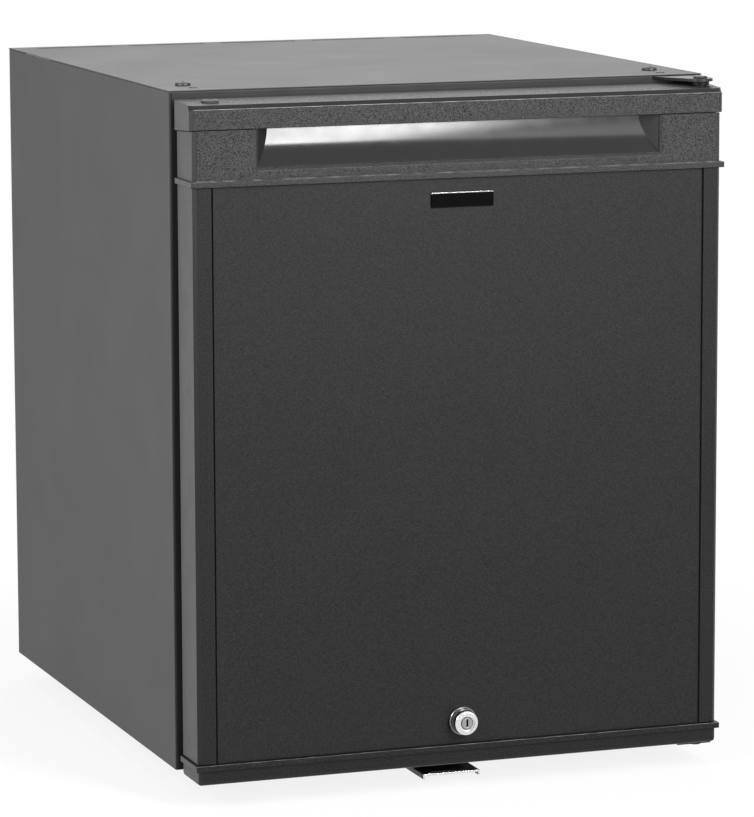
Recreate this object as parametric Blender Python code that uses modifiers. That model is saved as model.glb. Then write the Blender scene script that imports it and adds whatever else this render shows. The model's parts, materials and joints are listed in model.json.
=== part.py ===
"""A 30 litre absorption minibar: a steel cabinet with a foamed door hinged on its right side.

Units are metres and +Z is up. The origin is on the floor, under the middle of the whole object.
Sizes below are given in the cabinet's frame: X from the middle, Y from the cabinet's front face
towards the rear, and Z from the cabinet's bottom.
"""
import math

import bmesh
import bpy
from mathutils import Vector

# Cabinet
CABINET_WIDTH = 0.4000
CABINET_DEPTH = 0.4232
CABINET_HEIGHT = 0.4792
SHEET = 0.0008
BEND_RADIUS = 0.0016
FRONT_FLANGE = 0.0260
REAR_FLANGE = 0.0140
SEAT_GAP = 0.0003
HOLE_GAP = 0.0004
VENT_COUNT = 5
VENT_LENGTH = 0.0610
VENT_WIDTH = 0.0048
VENT_PITCH = 0.0750
VENT_REAR_MARGIN = 0.0102
INTAKE_LEFT = -0.1200
INTAKE_LENGTH = 0.1600
INTAKE_DEPTH = 0.0600
INTAKE_FRONT_GAP = 0.0250

# Insulated box and its liner
REAR_SPACE = 0.1152
SIDE_WALL = 0.0400
TOP_WALL = 0.0392
FLOOR_WALL = 0.0450
BACK_WALL = 0.0450
LINER_SHEET = 0.0014
RUNNER_WIDTH = 0.0060
RUNNER_HEIGHT = 0.0050
RUNNER_OVERLAP = 0.0020

# Feet
FOOT_HEIGHT = 0.0208
FOOT_RADIUS = 0.0120
FOOT_STUD_RADIUS = 0.0040
FOOT_STUD_LENGTH = 0.0150
FOOT_SIDE_INSET = 0.0440
FOOT_FRONT_INSET = 0.0600
FOOT_REAR_INSET = 0.0780
FOOT_EDGE = 0.0010

# Door
DOOR_GAP = 0.0060
DOOR_DEPTH = 0.0363
DOOR_SIDE_INSET = 0.0035
DOOR_DROP = 0.0028
DOOR_TOP_CLEARANCE = 0.0054
DOOR_SKIN = 0.0020
DOOR_CHAMFER = 0.0026
TRIM_FACE = 0.0130
PANEL_SHEET = 0.0012
PANEL_RECESS = 0.0010
PANEL_GAP = 0.0013
INNER_SHEET = 0.0014
BOTTOM_CAP_HEIGHT = 0.0147
BOTTOM_CAP_ROUND = 0.0025
LEDGE_THICKNESS = 0.0042
LEDGE_PROUD = 0.0020
TOP_CAP_HEIGHT = 0.0187
TOP_CAP_PROUD = 0.0017
TOP_CAP_RISE = 0.0018
TOP_CAP_UNDERCUT = 0.0024
GASKET_WIDTH = 0.0140
GASKET_SIDE_INSET = 0.0130
GASKET_TOP_INSET = 0.0142
GASKET_BOTTOM_INSET = 0.0120
DYKE_HEIGHT = 0.0200
DYKE_WALL = 0.0100
DYKE_CLEARANCE = 0.0120
DYKE_TOP_CLEARANCE = 0.0180

# Handle recess in the door's upper part
HANDLE_HEIGHT = 0.0392
RECESS_MARGIN = 0.0453
RECESS_RISE = 0.0103
SCOOP_DEPTH = 0.0140
SCOOP_HEIGHT = 0.0290
SCOOP_END_SLANT = 0.0127
SCOOP_WALL = 0.0020
POCKET_RISE = 0.0110
SCOOP_STEPS = 8

# Blank badge plate
BADGE_WIDTH = 0.0464
BADGE_HEIGHT = 0.0107
BADGE_SHEET = 0.0008
BADGE_TOP_INSET = 0.0099

# Hinges
HINGE_SIDE_INSET = 0.0120
HINGE_BACK_INSET = 0.0180
HINGE_SHEET = 0.0020
HINGE_LEAF_WIDTH = 0.0360
HINGE_LEAF_DEPTH = 0.0480
HINGE_NOSE_RADIUS = 0.0090
PIN_RADIUS = 0.0030
PIN_HEAD_RADIUS = 0.0052
PIN_HEAD_HEIGHT = 0.0012
PIN_DEPTH = 0.0120
PIN_CLEARANCE = 0.0003
BUSH_WALL = 0.0020
BUSH_FLANGE_RADIUS = 0.0065
BUSH_DEPTH = 0.0130
BOTTOM_HINGE_GAP = 0.0014
BOTTOM_NOSE_REACH = 0.0062
LOWER_HEAD_RADIUS = 0.0045
LOWER_HEAD_HEIGHT = 0.0008
BOTTOM_LEAF_WIDTH = 0.0260
BOTTOM_LEAF_DEPTH = 0.0450
SPARE_HOLE_INSET = 0.0220
SPARE_PLUG_HEIGHT = 0.0012

# Screws in the top sheet
SCREW_SIDE_INSET = 0.0230
SCREW_FRONT_INSET = 0.0420
SCREW_HEAD_RADIUS = 0.0055
SCREW_HEAD_HEIGHT = 0.0022
SCREW_CROWN_RADIUS = 0.0035
SCREW_RIM_HEIGHT = 0.0008
SCREW_SHANK_RADIUS = 0.0020
SCREW_LENGTH = 0.0120

# Lock and its keeper
LOCK_RISE = 0.0315
LOCK_PROUD = 0.0100
LOCK_RING_RADIUS = 0.0106
LOCK_RING_HEIGHT = 0.0026
LOCK_FACE_RADIUS = 0.0089
LOCK_BARREL_RADIUS = 0.0080
LOCK_PLUG_RADIUS = 0.0042
LOCK_INSIDE_LENGTH = 0.0213
LOCK_TAIL = 0.0020
KEYWAY_WIDTH = 0.0012
KEYWAY_HEIGHT = 0.0056
KEYWAY_DEPTH = 0.0080
NUT_RADIUS = 0.0118
NUT_HEIGHT = 0.0030
CAM_LENGTH = 0.0445
CAM_WIDTH = 0.0100
CAM_SHEET = 0.0025
CAM_ROOM = 0.0030
KEEPER_WIDTH = 0.0435
KEEPER_DROP = 0.0138
KEEPER_SHEET = 0.0015
KEEPER_FLANGE = 0.0037
KEEPER_REACH = 0.0206
KEEPER_FOOT_INSET = 0.0180
KEEPER_FOOT_LENGTH = 0.0270

# Door racks
RACK_WALL = 0.0020
RACK_LUG_WIDTH = 0.0070
RACK_LUG_HEIGHT = 0.0040
RACKS = {
    "door_rack_lower": {"rise": 0.0700, "height": 0.0700, "depth": 0.0640},
    "door_rack_middle": {"rise": 0.2050, "height": 0.0420, "depth": 0.0560},
    "door_rack_upper": {"rise": 0.3200, "height": 0.0420, "depth": 0.0560},
}

# Shelves
SHELF_THICKNESS = 0.0040
SHELF_FRONT = 0.0800
SHELF_REAR_GAP = 0.0200
SHELF_SIDE_GAP = 0.0015
SHELF_RIM = 0.0090
SHELF_LIP = 0.0080
SHELF_SLOT = 0.0080
SHELF_SLOT_PITCH = 0.0151
SHELF_RISES = {"shelf_lower": 0.1650, "shelf_upper": 0.2850}

# Thermostat, lamp and door switch
THERMOSTAT_WIDTH = 0.0700
THERMOSTAT_DEPTH = 0.0700
THERMOSTAT_HEIGHT = 0.0380
THERMOSTAT_FRONT = 0.0620
THERMOSTAT_ROUND = 0.0030
KNOB_RADIUS = 0.0135
KNOB_DEPTH = 0.0140
KNOB_GRIP_WIDTH = 0.0040
KNOB_GRIP_HEIGHT = 0.0040
SENSOR_RADIUS = 0.0015
LAMP_WIDTH = 0.0200
LAMP_DEPTH = 0.0600
LAMP_HEIGHT = 0.0300
LAMP_ROUND = 0.0060
SWITCH_WIDTH = 0.0240
SWITCH_DEPTH = 0.0380
SWITCH_HEIGHT = 0.0128
SWITCH_FRONT = 0.0060
SWITCH_SIDE = 0.0600
PLUNGER_RADIUS = 0.0022
PLUNGER_GUIDE = 0.0200
PLUNGER_DROP = 0.0068

# Cooling unit
EVAPORATOR_HALF = 0.1100
EVAPORATOR_HEIGHT = 0.0600
EVAPORATOR_TOP_GAP = 0.0100
EVAPORATOR_PLATE = 0.0040
FIN_DEPTH = 0.0300
FIN_SHEET = 0.0015
FIN_PITCH = 0.0115
RAIL_SHEET = 0.0012
RAIL_HEIGHT = 0.0220
LOWER_RAIL_RISE = 0.0720
UPPER_RAIL_DROP = 0.0592
VESSEL_RADIUS = 0.0275
VESSEL_WALL = 0.0025
VESSEL_SIDE_GAP = 0.0300
VESSEL_BOILER_GAP = 0.0119
COIL_RADIUS = 0.0070
COIL_RUNS = 5
COIL_FIN_GAP = 0.0550
COIL_FOOT = 0.0405
COIL_STRAIGHT = 0.0010
EXCHANGER_RADIUS = 0.0100
EXCHANGER_COIL_GAP = 0.0030
EXCHANGER_BEND = 0.0300
EXCHANGER_BOILER_GAP = 0.0219
CONDENSER_SIDE_GAP = 0.0500
CONDENSER_BOILER_GAP = 0.0219
CONDENSER_DEPTH = 0.0500
CONDENSER_FIN = 0.0500
CONDENSER_BAR = 0.0100
BOILER_WIDTH = 0.0740
BOILER_DEPTH = 0.0756
BOILER_SIDE_GAP = 0.0130
BOILER_BOTTOM = 0.0650
BOILER_TOP = 0.3000
BOILER_SHEET = 0.0010
BOILER_PIPE_RADIUS = 0.0110
BOILER_PIPE_BOTTOM = 0.0580
BOILER_BEND = 0.0300
HEATER_RADIUS = 0.0070
HEATER_BOTTOM = 0.0400
HEATER_TOP = 0.2000
CONTROL_FOOT_GAP = 0.0080
CONTROL_WIDTH = 0.0850
CONTROL_DEPTH = 0.0800
CONTROL_HEIGHT = 0.0300
CONTROL_FRONT_GAP = 0.0260
CONTROL_LID = 0.0016
GLAND_RADIUS = 0.0060
GLAND_LENGTH = 0.0060

# Lines and planes that several pieces share
HALF_WIDTH = CABINET_WIDTH / 2
BOX_BACK = CABINET_DEPTH - REAR_SPACE
CAVITY_SIDE = HALF_WIDTH - SIDE_WALL
CAVITY_CEILING = CABINET_HEIGHT - TOP_WALL
CAVITY_BACK = BOX_BACK - BACK_WALL
SHEET_TOP = CABINET_HEIGHT - SHEET
INSIDE_SIDE = HALF_WIDTH - SHEET - SEAT_GAP
FOAM_FRONT = max(LINER_SHEET, BEND_RADIUS) + SEAT_GAP

DOOR_SIDE = HALF_WIDTH - DOOR_SIDE_INSET
DOOR_BACK = -DOOR_GAP
DOOR_FRONT = DOOR_BACK - DOOR_DEPTH
DOOR_BOTTOM = -DOOR_DROP
DOOR_TOP = CABINET_HEIGHT - DOOR_TOP_CLEARANCE
CAP_BOTTOM = DOOR_TOP - TOP_CAP_HEIGHT
CAP_SIDE = DOOR_SIDE + TOP_CAP_PROUD
HANDLE_BOTTOM = CAP_BOTTOM - HANDLE_HEIGHT
BOTTOM_LEDGE = DOOR_BOTTOM + BOTTOM_CAP_HEIGHT
RECESS_SIDE = DOOR_SIDE - RECESS_MARGIN
RECESS_BOTTOM = HANDLE_BOTTOM + RECESS_RISE
SCOOP_BACK = DOOR_FRONT + SCOOP_DEPTH + SCOOP_WALL
CORE_SIDE = DOOR_SIDE - DOOR_SKIN - SEAT_GAP
CORE_BACK = DOOR_BACK - INNER_SHEET - SEAT_GAP
PANEL_FRONT = DOOR_FRONT + PANEL_RECESS
CORE_FRONT = PANEL_FRONT + PANEL_SHEET + SEAT_GAP
CORE_BOTTOM = DOOR_BOTTOM + DOOR_SKIN + SEAT_GAP
DYKE_SIDE = CAVITY_SIDE - DYKE_CLEARANCE
DYKE_BOTTOM = FLOOR_WALL + DYKE_CLEARANCE
DYKE_TOP = CAVITY_CEILING - DYKE_TOP_CLEARANCE
DYKE_BACK = DOOR_BACK + DYKE_HEIGHT

HINGE_X = HALF_WIDTH - HINGE_SIDE_INSET
HINGE_Y = DOOR_BACK - HINGE_BACK_INSET
TOP_HINGE_Z = SHEET_TOP - SEAT_GAP - HINGE_SHEET
BOTTOM_HINGE_Z = DOOR_BOTTOM - BOTTOM_HINGE_GAP
BUSH_RADIUS = PIN_RADIUS + PIN_CLEARANCE + BUSH_WALL
CAP_SLOPE = TOP_CAP_RISE / (DOOR_DEPTH - DOOR_CHAMFER)
BUSH_SEAT = DOOR_TOP - CAP_SLOPE * (HINGE_BACK_INSET - BUSH_FLANGE_RADIUS) + SEAT_GAP

LOCK_Z = DOOR_BOTTOM + LOCK_RISE
LOCK_FRONT = DOOR_FRONT - LOCK_PROUD
BARREL_BACK = PANEL_FRONT + LOCK_INSIDE_LENGTH
CAM_FRONT = BARREL_BACK + LOCK_TAIL + SEAT_GAP
CAM_BACK = CAM_FRONT + CAM_SHEET
CAM_SWEEP = math.hypot(CAM_LENGTH, CAM_WIDTH / 2)
POCKET_FRONT = BARREL_BACK - SEAT_GAP - NUT_HEIGHT - SEAT_GAP

RAIL_BACK = CABINET_DEPTH - SHEET - SEAT_GAP
UNIT_BACK = RAIL_BACK - RAIL_SHEET - SEAT_GAP
UNIT_LINE = UNIT_BACK - VESSEL_RADIUS
UPPER_RAIL_RISE = CABINET_HEIGHT - UPPER_RAIL_DROP
VESSEL_TOP = LOWER_RAIL_RISE + VESSEL_RADIUS
BOILER_RIGHT = INSIDE_SIDE - BOILER_SIDE_GAP
BOILER_LEFT = BOILER_RIGHT - BOILER_WIDTH
VESSEL_LEFT = VESSEL_SIDE_GAP - HALF_WIDTH
VESSEL_RIGHT = BOILER_LEFT - VESSEL_BOILER_GAP
CONDENSER_LEFT = CONDENSER_SIDE_GAP - HALF_WIDTH
CONDENSER_RIGHT = BOILER_LEFT - CONDENSER_BOILER_GAP
EXCHANGER_SIDE = BOILER_LEFT - EXCHANGER_BOILER_GAP - EXCHANGER_RADIUS
COIL_RIGHT = EXCHANGER_SIDE - EXCHANGER_RADIUS - EXCHANGER_COIL_GAP - COIL_RADIUS
COIL_TOP = UPPER_RAIL_RISE - CONDENSER_FIN / 2 - COIL_FIN_GAP
COIL_PITCH = (COIL_TOP - VESSEL_TOP - COIL_FOOT) / (COIL_RUNS - 1)
CONTROL_RIGHT = HALF_WIDTH - FOOT_SIDE_INSET - FOOT_RADIUS - CONTROL_FOOT_GAP
CONTROL_LEFT = CONTROL_RIGHT - CONTROL_WIDTH
EVAPORATOR_TOP = CAVITY_CEILING - EVAPORATOR_TOP_GAP
EVAPORATOR_BOTTOM = EVAPORATOR_TOP - EVAPORATOR_HEIGHT
EXCHANGER_RISE = EVAPORATOR_BOTTOM + EXCHANGER_RADIUS

# The whole object's depth runs from the lock's face to the cabinet's rear edge
CABINET_FRONT_Y = (DOOR_GAP + DOOR_DEPTH + LOCK_PROUD - CABINET_DEPTH) / 2

# Finishes: colour, roughness and metallic value
BLACK_PAINT = ((0.135, 0.135, 0.138), 0.42, 0.0)
DOOR_PLASTIC = ((0.050, 0.050, 0.052), 0.50, 0.0)
GRAINED_PLASTIC = ((0.062, 0.062, 0.064), 0.62, 0.0)
PANEL_LAMINATE = ((0.045, 0.045, 0.047), 0.45, 0.0)
GLOSS_BLACK = ((0.020, 0.020, 0.021), 0.08, 0.0)
WHITE_LINER = ((0.780, 0.790, 0.790), 0.35, 0.0)
CLEAR_RACK = ((0.640, 0.690, 0.720), 0.20, 0.0)
FOAM = ((0.750, 0.650, 0.420), 0.90, 0.0)
RUBBER = ((0.030, 0.030, 0.031), 0.80, 0.0)
CHROME = ((0.800, 0.800, 0.810), 0.12, 1.0)
BARE_STEEL = ((0.560, 0.560, 0.570), 0.30, 1.0)
ALUMINIUM = ((0.720, 0.730, 0.740), 0.35, 1.0)
GREY_STEEL = ((0.230, 0.240, 0.250), 0.50, 0.6)
BADGE_BLACK = ((0.012, 0.012, 0.013), 0.20, 0.0)
LENS = ((0.900, 0.900, 0.860), 0.25, 0.0)

ROUND_SIDES = 20
TURNED_SIDES = 16
SMALL_SIDES = 12
FOLD_STEPS = 3
BEND_STEPS = 5
PAST = 0.0050


def clear_scene():
    """Removes whatever the file holds."""
    for item in list(bpy.data.objects):
        bpy.data.objects.remove(item, do_unlink=True)


def new_collection(name):
    group = bpy.data.collections.new(name)
    bpy.context.scene.collection.children.link(group)
    return group


clear_scene()
PARTS = new_collection("minibar_fridge")
CUTTERS = new_collection("cutters")


def place_of(holder):
    """Where a holder stands in the cabinet's frame."""
    return holder.location + place_of(holder.parent) if holder.parent else Vector()


def new_holder(name, place, parent):
    """An empty on a joint's axis, which carries the pieces that move about it."""
    holder = bpy.data.objects.new(name, None)
    PARTS.objects.link(holder)
    holder.empty_display_size = 0.02
    hang(holder, parent, place)
    return holder


def hang(piece, holder, place, turn=(0, 0, 0)):
    """Places a piece by its point in the cabinet's frame, under the empty that carries it."""
    piece.parent = holder
    piece.location = Vector(place) - place_of(holder)
    piece.rotation_euler = turn


CABINET = bpy.data.objects.new("cabinet_frame", None)
PARTS.objects.link(CABINET)
CABINET.location = (0, CABINET_FRONT_Y, FOOT_HEIGHT)
DOOR = new_holder("door_hinge_axis", (HINGE_X, HINGE_Y, 0), CABINET)
LOCK = new_holder("lock_axis", (0, LOCK_FRONT, LOCK_Z), DOOR)


def finish_of(name, finish):
    colour, roughness, metallic = finish
    made = bpy.data.materials.new(name + "_finish")
    made.use_nodes = True
    shader = made.node_tree.nodes["Principled BSDF"]
    shader.inputs["Base Color"].default_value = (*colour, 1)
    shader.inputs["Roughness"].default_value = roughness
    shader.inputs["Metallic"].default_value = metallic
    made.diffuse_color = (*colour, 1)
    return made


def add_piece(name, data, finish, place, holder=None, turn=(0, 0, 0)):
    piece = bpy.data.objects.new(name, data)
    PARTS.objects.link(piece)
    hang(piece, holder or CABINET, place, turn)
    piece.data.materials.append(finish_of(name, finish))
    return piece


def add_cutter(data, place, holder=None, turn=(0, 0, 0)):
    tool = bpy.data.objects.new("cutter", data)
    CUTTERS.objects.link(tool)
    hang(tool, holder or CABINET, place, turn)
    tool.hide_render = True
    tool.display_type = "WIRE"
    return tool


def combine(piece, tool, operation):
    step = piece.modifiers.new(operation.lower(), "BOOLEAN")
    step.operation = operation
    step.object = tool
    step.solver = "EXACT"
    return piece


def box_mesh(low, high):
    """A box about its own middle, and that middle."""
    low, high = Vector(low), Vector(high)
    shape = bmesh.new()
    bmesh.ops.create_cube(shape, size=1)
    bmesh.ops.scale(shape, vec=high - low, verts=shape.verts)
    data = bpy.data.meshes.new("box")
    shape.to_mesh(data)
    shape.free()
    return data, (low + high) / 2


def add_box(name, low, high, finish, holder=None):
    data, middle = box_mesh(low, high)
    return add_piece(name, data, finish, middle, holder)


def cut_box(piece, low, high, holder=None):
    data, middle = box_mesh(low, high)
    return combine(piece, add_cutter(data, middle, holder), "DIFFERENCE")


def join_box(piece, low, high, holder=None):
    data, middle = box_mesh(low, high)
    return combine(piece, add_cutter(data, middle, holder), "UNION")


def cut_row(piece, low, high, pitch, count):
    """Cuts a row of equal boxes along X, the first of them given."""
    data, middle = box_mesh(low, high)
    tool = add_cutter(data, middle)
    row = tool.modifiers.new("row", "ARRAY")
    row.use_relative_offset = False
    row.use_constant_offset = True
    row.constant_offset_displace = (pitch, 0, 0)
    row.count = count
    return combine(piece, tool, "DIFFERENCE")


# Turns that lay a shape's own Z along the named axis
ALONG = {"X": (0, math.radians(90), 0), "Y": (math.radians(-90), 0, 0), "Z": (0, 0, 0)}


def rod_mesh(radius, length, sides=ROUND_SIDES):
    shape = bmesh.new()
    bmesh.ops.create_cone(shape, cap_ends=True, segments=sides, radius1=radius, radius2=radius, depth=length)
    data = bpy.data.meshes.new("rod")
    shape.to_mesh(data)
    shape.free()
    data.shade_smooth()
    data.set_sharp_from_angle(angle=math.radians(40))
    return data


def add_rod(name, radius, start, length, axis, finish, holder=None, sides=ROUND_SIDES):
    """A round bar from its start point, along the axis."""
    data = rod_mesh(radius, length, sides)
    middle = Vector(start) + axis_vector(axis) * length / 2
    return add_piece(name, data, finish, middle, holder, ALONG[axis])


def axis_vector(axis):
    return Vector((axis == "X", axis == "Y", axis == "Z"))


def drill(piece, radius, start, length, axis, holder=None, sides=ROUND_SIDES):
    middle = Vector(start) + axis_vector(axis) * length / 2
    tool = add_cutter(rod_mesh(radius, length, sides), middle, holder, ALONG[axis])
    return combine(piece, tool, "DIFFERENCE")


# Turns that lay a flat outline's own X, Y and thickness on the named plane
PLANES = {
    "XY": (0, 0, 0),
    "XZ": (math.radians(90), 0, 0),
    "YZ": (math.radians(90), 0, math.radians(90)),
}


def outline_mesh(outlines, thickness):
    """A flat shape of an outer outline and any holes in it, as a closed mesh about its mid plane."""
    curve = bpy.data.curves.new("outline", "CURVE")
    curve.dimensions = "2D"
    curve.fill_mode = "BOTH"
    curve.extrude = thickness / 2
    for points in outlines:
        spline = curve.splines.new("POLY")
        spline.points.add(len(points) - 1)
        for point, (across, up) in zip(spline.points, points):
            point.co = (across, up, 0, 1)
        spline.use_cyclic_u = True
    guide = bpy.data.objects.new("outline", curve)
    CUTTERS.objects.link(guide)
    bpy.context.view_layer.update()
    data = bpy.data.meshes.new_from_object(guide.evaluated_get(bpy.context.evaluated_depsgraph_get()))
    bpy.data.objects.remove(guide, do_unlink=True)
    shape = bmesh.new()
    shape.from_mesh(data)
    bmesh.ops.remove_doubles(shape, verts=shape.verts, dist=1e-6)
    bmesh.ops.recalc_face_normals(shape, faces=shape.faces)
    shape.to_mesh(data)
    shape.free()
    data.materials.clear()
    return data


def add_outline(name, outlines, thickness, plane, place, finish, holder=None):
    return add_piece(name, outline_mesh(outlines, thickness), finish, place, holder, PLANES[plane])


def rectangle(left, bottom, right, top):
    return [(left, bottom), (right, bottom), (right, top), (left, top)]


def arc(centre, radius, start, end, steps):
    """Points on an arc, its angles in degrees."""
    turns = [math.radians(start + (end - start) * i / steps) for i in range(steps + 1)]
    return [(centre[0] + radius * math.cos(t), centre[1] + radius * math.sin(t)) for t in turns]


def rounded_route(points, radius, steps=BEND_STEPS):
    """The route with an arc of this radius at each inner corner."""
    points = [Vector(point) for point in points]
    route = [points[0]]
    for before, corner, after in zip(points, points[1:], points[2:]):
        back, ahead = (before - corner).normalized(), (after - corner).normalized()
        half_angle = back.angle(ahead) / 2
        centre = corner + (back + ahead).normalized() * radius / math.sin(half_angle)
        first = corner + back * radius / math.tan(half_angle) - centre
        last = corner + ahead * radius / math.tan(half_angle) - centre
        for i in range(steps + 1):
            point = centre + first.normalized().slerp(last.normalized(), i / steps) * first.length
            if (point - route[-1]).length > 1e-5:
                route.append(point)
    route.append(points[-1])
    return route


def folded_sheet(name, path, thickness, width, plane, place, finish, holder=None):
    """A sheet that follows the path over its outer side, to the left of which the metal lies."""
    route = rounded_route([(*point, 0) for point in path], BEND_RADIUS, FOLD_STEPS)
    shape = bmesh.new()
    rows = [[shape.verts.new((p.x, p.y, side * width / 2)) for p in route] for side in (-1, 1)]
    for i in range(len(route) - 1):
        shape.faces.new((rows[0][i], rows[0][i + 1], rows[1][i + 1], rows[1][i]))
    data = bpy.data.meshes.new(name)
    shape.to_mesh(data)
    shape.free()
    piece = add_piece(name, data, finish, place, holder, PLANES[plane])
    wall = piece.modifiers.new("wall", "SOLIDIFY")
    wall.thickness = thickness
    wall.offset = -1
    wall.use_even_offset = True
    return piece


def turned(name, profile, place, axis, finish, holder=None, sides=ROUND_SIDES, ring=False):
    """A turned piece: (radius, height) points down its outer side, and up a bore where it is a ring."""
    shape = bmesh.new()
    verts = [shape.verts.new((radius, 0, height)) for radius, height in profile]
    for first, second in zip(verts, verts[1:] + (verts[:1] if ring else [])):
        shape.edges.new((first, second))
    data = bpy.data.meshes.new(name)
    shape.to_mesh(data)
    shape.free()
    piece = add_piece(name, data, finish, place, holder, ALONG[axis])
    spin = piece.modifiers.new("spin", "SCREW")
    spin.steps = spin.render_steps = sides
    spin.use_merge_vertices = True
    spin.merge_threshold = 1e-5
    return piece


def tube(name, route, radius, finish, holder=None):
    """A round tube along the route, given in the cabinet's frame."""
    curve = bpy.data.curves.new(name, "CURVE")
    curve.dimensions = "3D"
    curve.bevel_depth = radius
    curve.bevel_resolution = 2
    curve.use_fill_caps = True
    spline = curve.splines.new("POLY")
    spline.points.add(len(route) - 1)
    for point, place in zip(spline.points, route):
        point.co = (*place, 1)
    spline.use_smooth = True
    return add_piece(name, curve, finish, (0, 0, 0), holder)


def bevel_edges(piece, chosen, width, segments=1):
    """Bevels the edges whose middle, in the piece's own space, the test accepts."""
    weights = piece.data.attributes.new("bevel_weight_edge", "FLOAT", "EDGE")
    for edge in piece.data.edges:
        first, second = (piece.data.vertices[i].co for i in edge.vertices)
        weights.data[edge.index].value = float(chosen(first, second))
    step = piece.modifiers.new("edges", "BEVEL")
    step.limit_method = "WEIGHT"
    step.width = width
    step.segments = segments
    return piece


LEAF_RIGHT = HALF_WIDTH - BEND_RADIUS - 2 * SEAT_GAP
LEAF_LEFT = LEAF_RIGHT - HINGE_LEAF_WIDTH
FLANGE_SIDE = HALF_WIDTH - FRONT_FLANGE - SEAT_GAP
LINER_FLANGE_BOTTOM = FRONT_FLANGE + SEAT_GAP
LINER_FLANGE_TOP = CABINET_HEIGHT - FRONT_FLANGE - SEAT_GAP
SHELF_BACK = CAVITY_BACK - SHELF_REAR_GAP
SCREW_X = HALF_WIDTH - SCREW_SIDE_INSET
FOOT_X = HALF_WIDTH - FOOT_SIDE_INSET
FOOT_PLACES = {
    "front_foot_left": (-FOOT_X, FOOT_FRONT_INSET),
    "front_foot_right": (FOOT_X, FOOT_FRONT_INSET),
    "rear_foot_left": (-FOOT_X, CABINET_DEPTH - FOOT_REAR_INSET),
    "rear_foot_right": (FOOT_X, CABINET_DEPTH - FOOT_REAR_INSET),
}


def make_side_panel(name, side):
    """A side sheet with a front flange to seal on and a rear flange; side is -1 on the left."""
    path = [
        (side * (HALF_WIDTH - REAR_FLANGE), CABINET_DEPTH),
        (side * HALF_WIDTH, CABINET_DEPTH),
        (side * HALF_WIDTH, 0),
        (side * (HALF_WIDTH - FRONT_FLANGE), 0),
    ]
    height = SHEET_TOP - SEAT_GAP
    path = path if side < 0 else path[::-1]
    panel = folded_sheet(name, path, SHEET, height, "XY", (0, 0, height / 2), BLACK_PAINT)
    inner, bend, outer = FLANGE_SIDE - PAST, HALF_WIDTH - BEND_RADIUS, HALF_WIDTH + PAST
    notch_bottom = CABINET_HEIGHT - FRONT_FLANGE - SEAT_GAP
    across = sorted((side * inner, side * bend))
    cut_box(panel, (across[0], -PAST, notch_bottom), (across[1], BEND_RADIUS, CABINET_HEIGHT))
    corner_bottom = CABINET_HEIGHT - BEND_RADIUS - SEAT_GAP
    across = sorted((side * inner, side * outer))
    cut_box(panel, (across[0], -PAST, corner_bottom), (across[1], BEND_RADIUS + SEAT_GAP, CABINET_HEIGHT))


def make_top_panel():
    path = [(CABINET_DEPTH, CABINET_HEIGHT), (0, CABINET_HEIGHT), (0, CABINET_HEIGHT - FRONT_FLANGE)]
    panel = folded_sheet("top_panel", path, SHEET, CABINET_WIDTH, "YZ", (0, 0, 0), BLACK_PAINT)
    flange_bottom = CABINET_HEIGHT - FRONT_FLANGE - PAST
    flange_end = HALF_WIDTH - BEND_RADIUS - SEAT_GAP
    flange_top = CABINET_HEIGHT - BEND_RADIUS
    cut_box(panel, (flange_end, -PAST, flange_bottom), (HALF_WIDTH + PAST, BEND_RADIUS, flange_top))
    cut_box(panel, (-HALF_WIDTH - PAST, -PAST, flange_bottom), (-flange_end, BEND_RADIUS, flange_top))
    slot_low = (LEAF_LEFT - HOLE_GAP, -PAST, TOP_HINGE_Z - SEAT_GAP)
    cut_box(panel, slot_low, (HALF_WIDTH + PAST, BEND_RADIUS, SHEET_TOP))
    vent_back = CABINET_DEPTH - VENT_REAR_MARGIN
    first = (1 - VENT_COUNT) / 2 * VENT_PITCH
    vent_low = (first - VENT_LENGTH / 2, vent_back - VENT_WIDTH, SHEET_TOP - PAST)
    vent_high = (first + VENT_LENGTH / 2, vent_back, CABINET_HEIGHT + PAST)
    cut_row(panel, vent_low, vent_high, VENT_PITCH, VENT_COUNT)
    for x in (-SCREW_X, SCREW_X):
        start = (x, SCREW_FRONT_INSET, SHEET_TOP - PAST)
        drill(panel, SCREW_SHANK_RADIUS + HOLE_GAP, start, 2 * PAST, "Z", sides=SMALL_SIDES)


def make_base_panel():
    front = BEND_RADIUS + SEAT_GAP
    back = CABINET_DEPTH - BEND_RADIUS - SEAT_GAP
    panel = add_box("base_panel", (-INSIDE_SIDE, front, 0), (INSIDE_SIDE, back, SHEET), BLACK_PAINT)
    join_box(panel, (-FLANGE_SIDE, 0, 0), (FLANGE_SIDE, front + FRONT_FLANGE, SHEET))
    join_box(panel, (-FLANGE_SIDE, 0, 0), (FLANGE_SIDE, SHEET, FRONT_FLANGE))
    intake_front = BOX_BACK + INTAKE_FRONT_GAP
    intake_low = (INTAKE_LEFT, intake_front, -PAST)
    cut_box(panel, intake_low, (INTAKE_LEFT + INTAKE_LENGTH, intake_front + INTAKE_DEPTH, PAST))
    for x, y in FOOT_PLACES.values():
        drill(panel, FOOT_STUD_RADIUS + HOLE_GAP, (x, y, -PAST), 2 * PAST, "Z", sides=SMALL_SIDES)


def make_back_panel():
    low = (-INSIDE_SIDE, BOX_BACK + SEAT_GAP, SHEET + SEAT_GAP)
    high = (INSIDE_SIDE, BOX_BACK + SEAT_GAP + SHEET, SHEET_TOP - SEAT_GAP)
    drill_exchanger_hole(add_box("back_panel", low, high, GREY_STEEL))


def drill_exchanger_hole(piece):
    start = (EXCHANGER_SIDE, CAVITY_BACK - PAST, EXCHANGER_RISE)
    drill(piece, EXCHANGER_RADIUS + HOLE_GAP, start, BACK_WALL + 4 * PAST, "Y")


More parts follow.
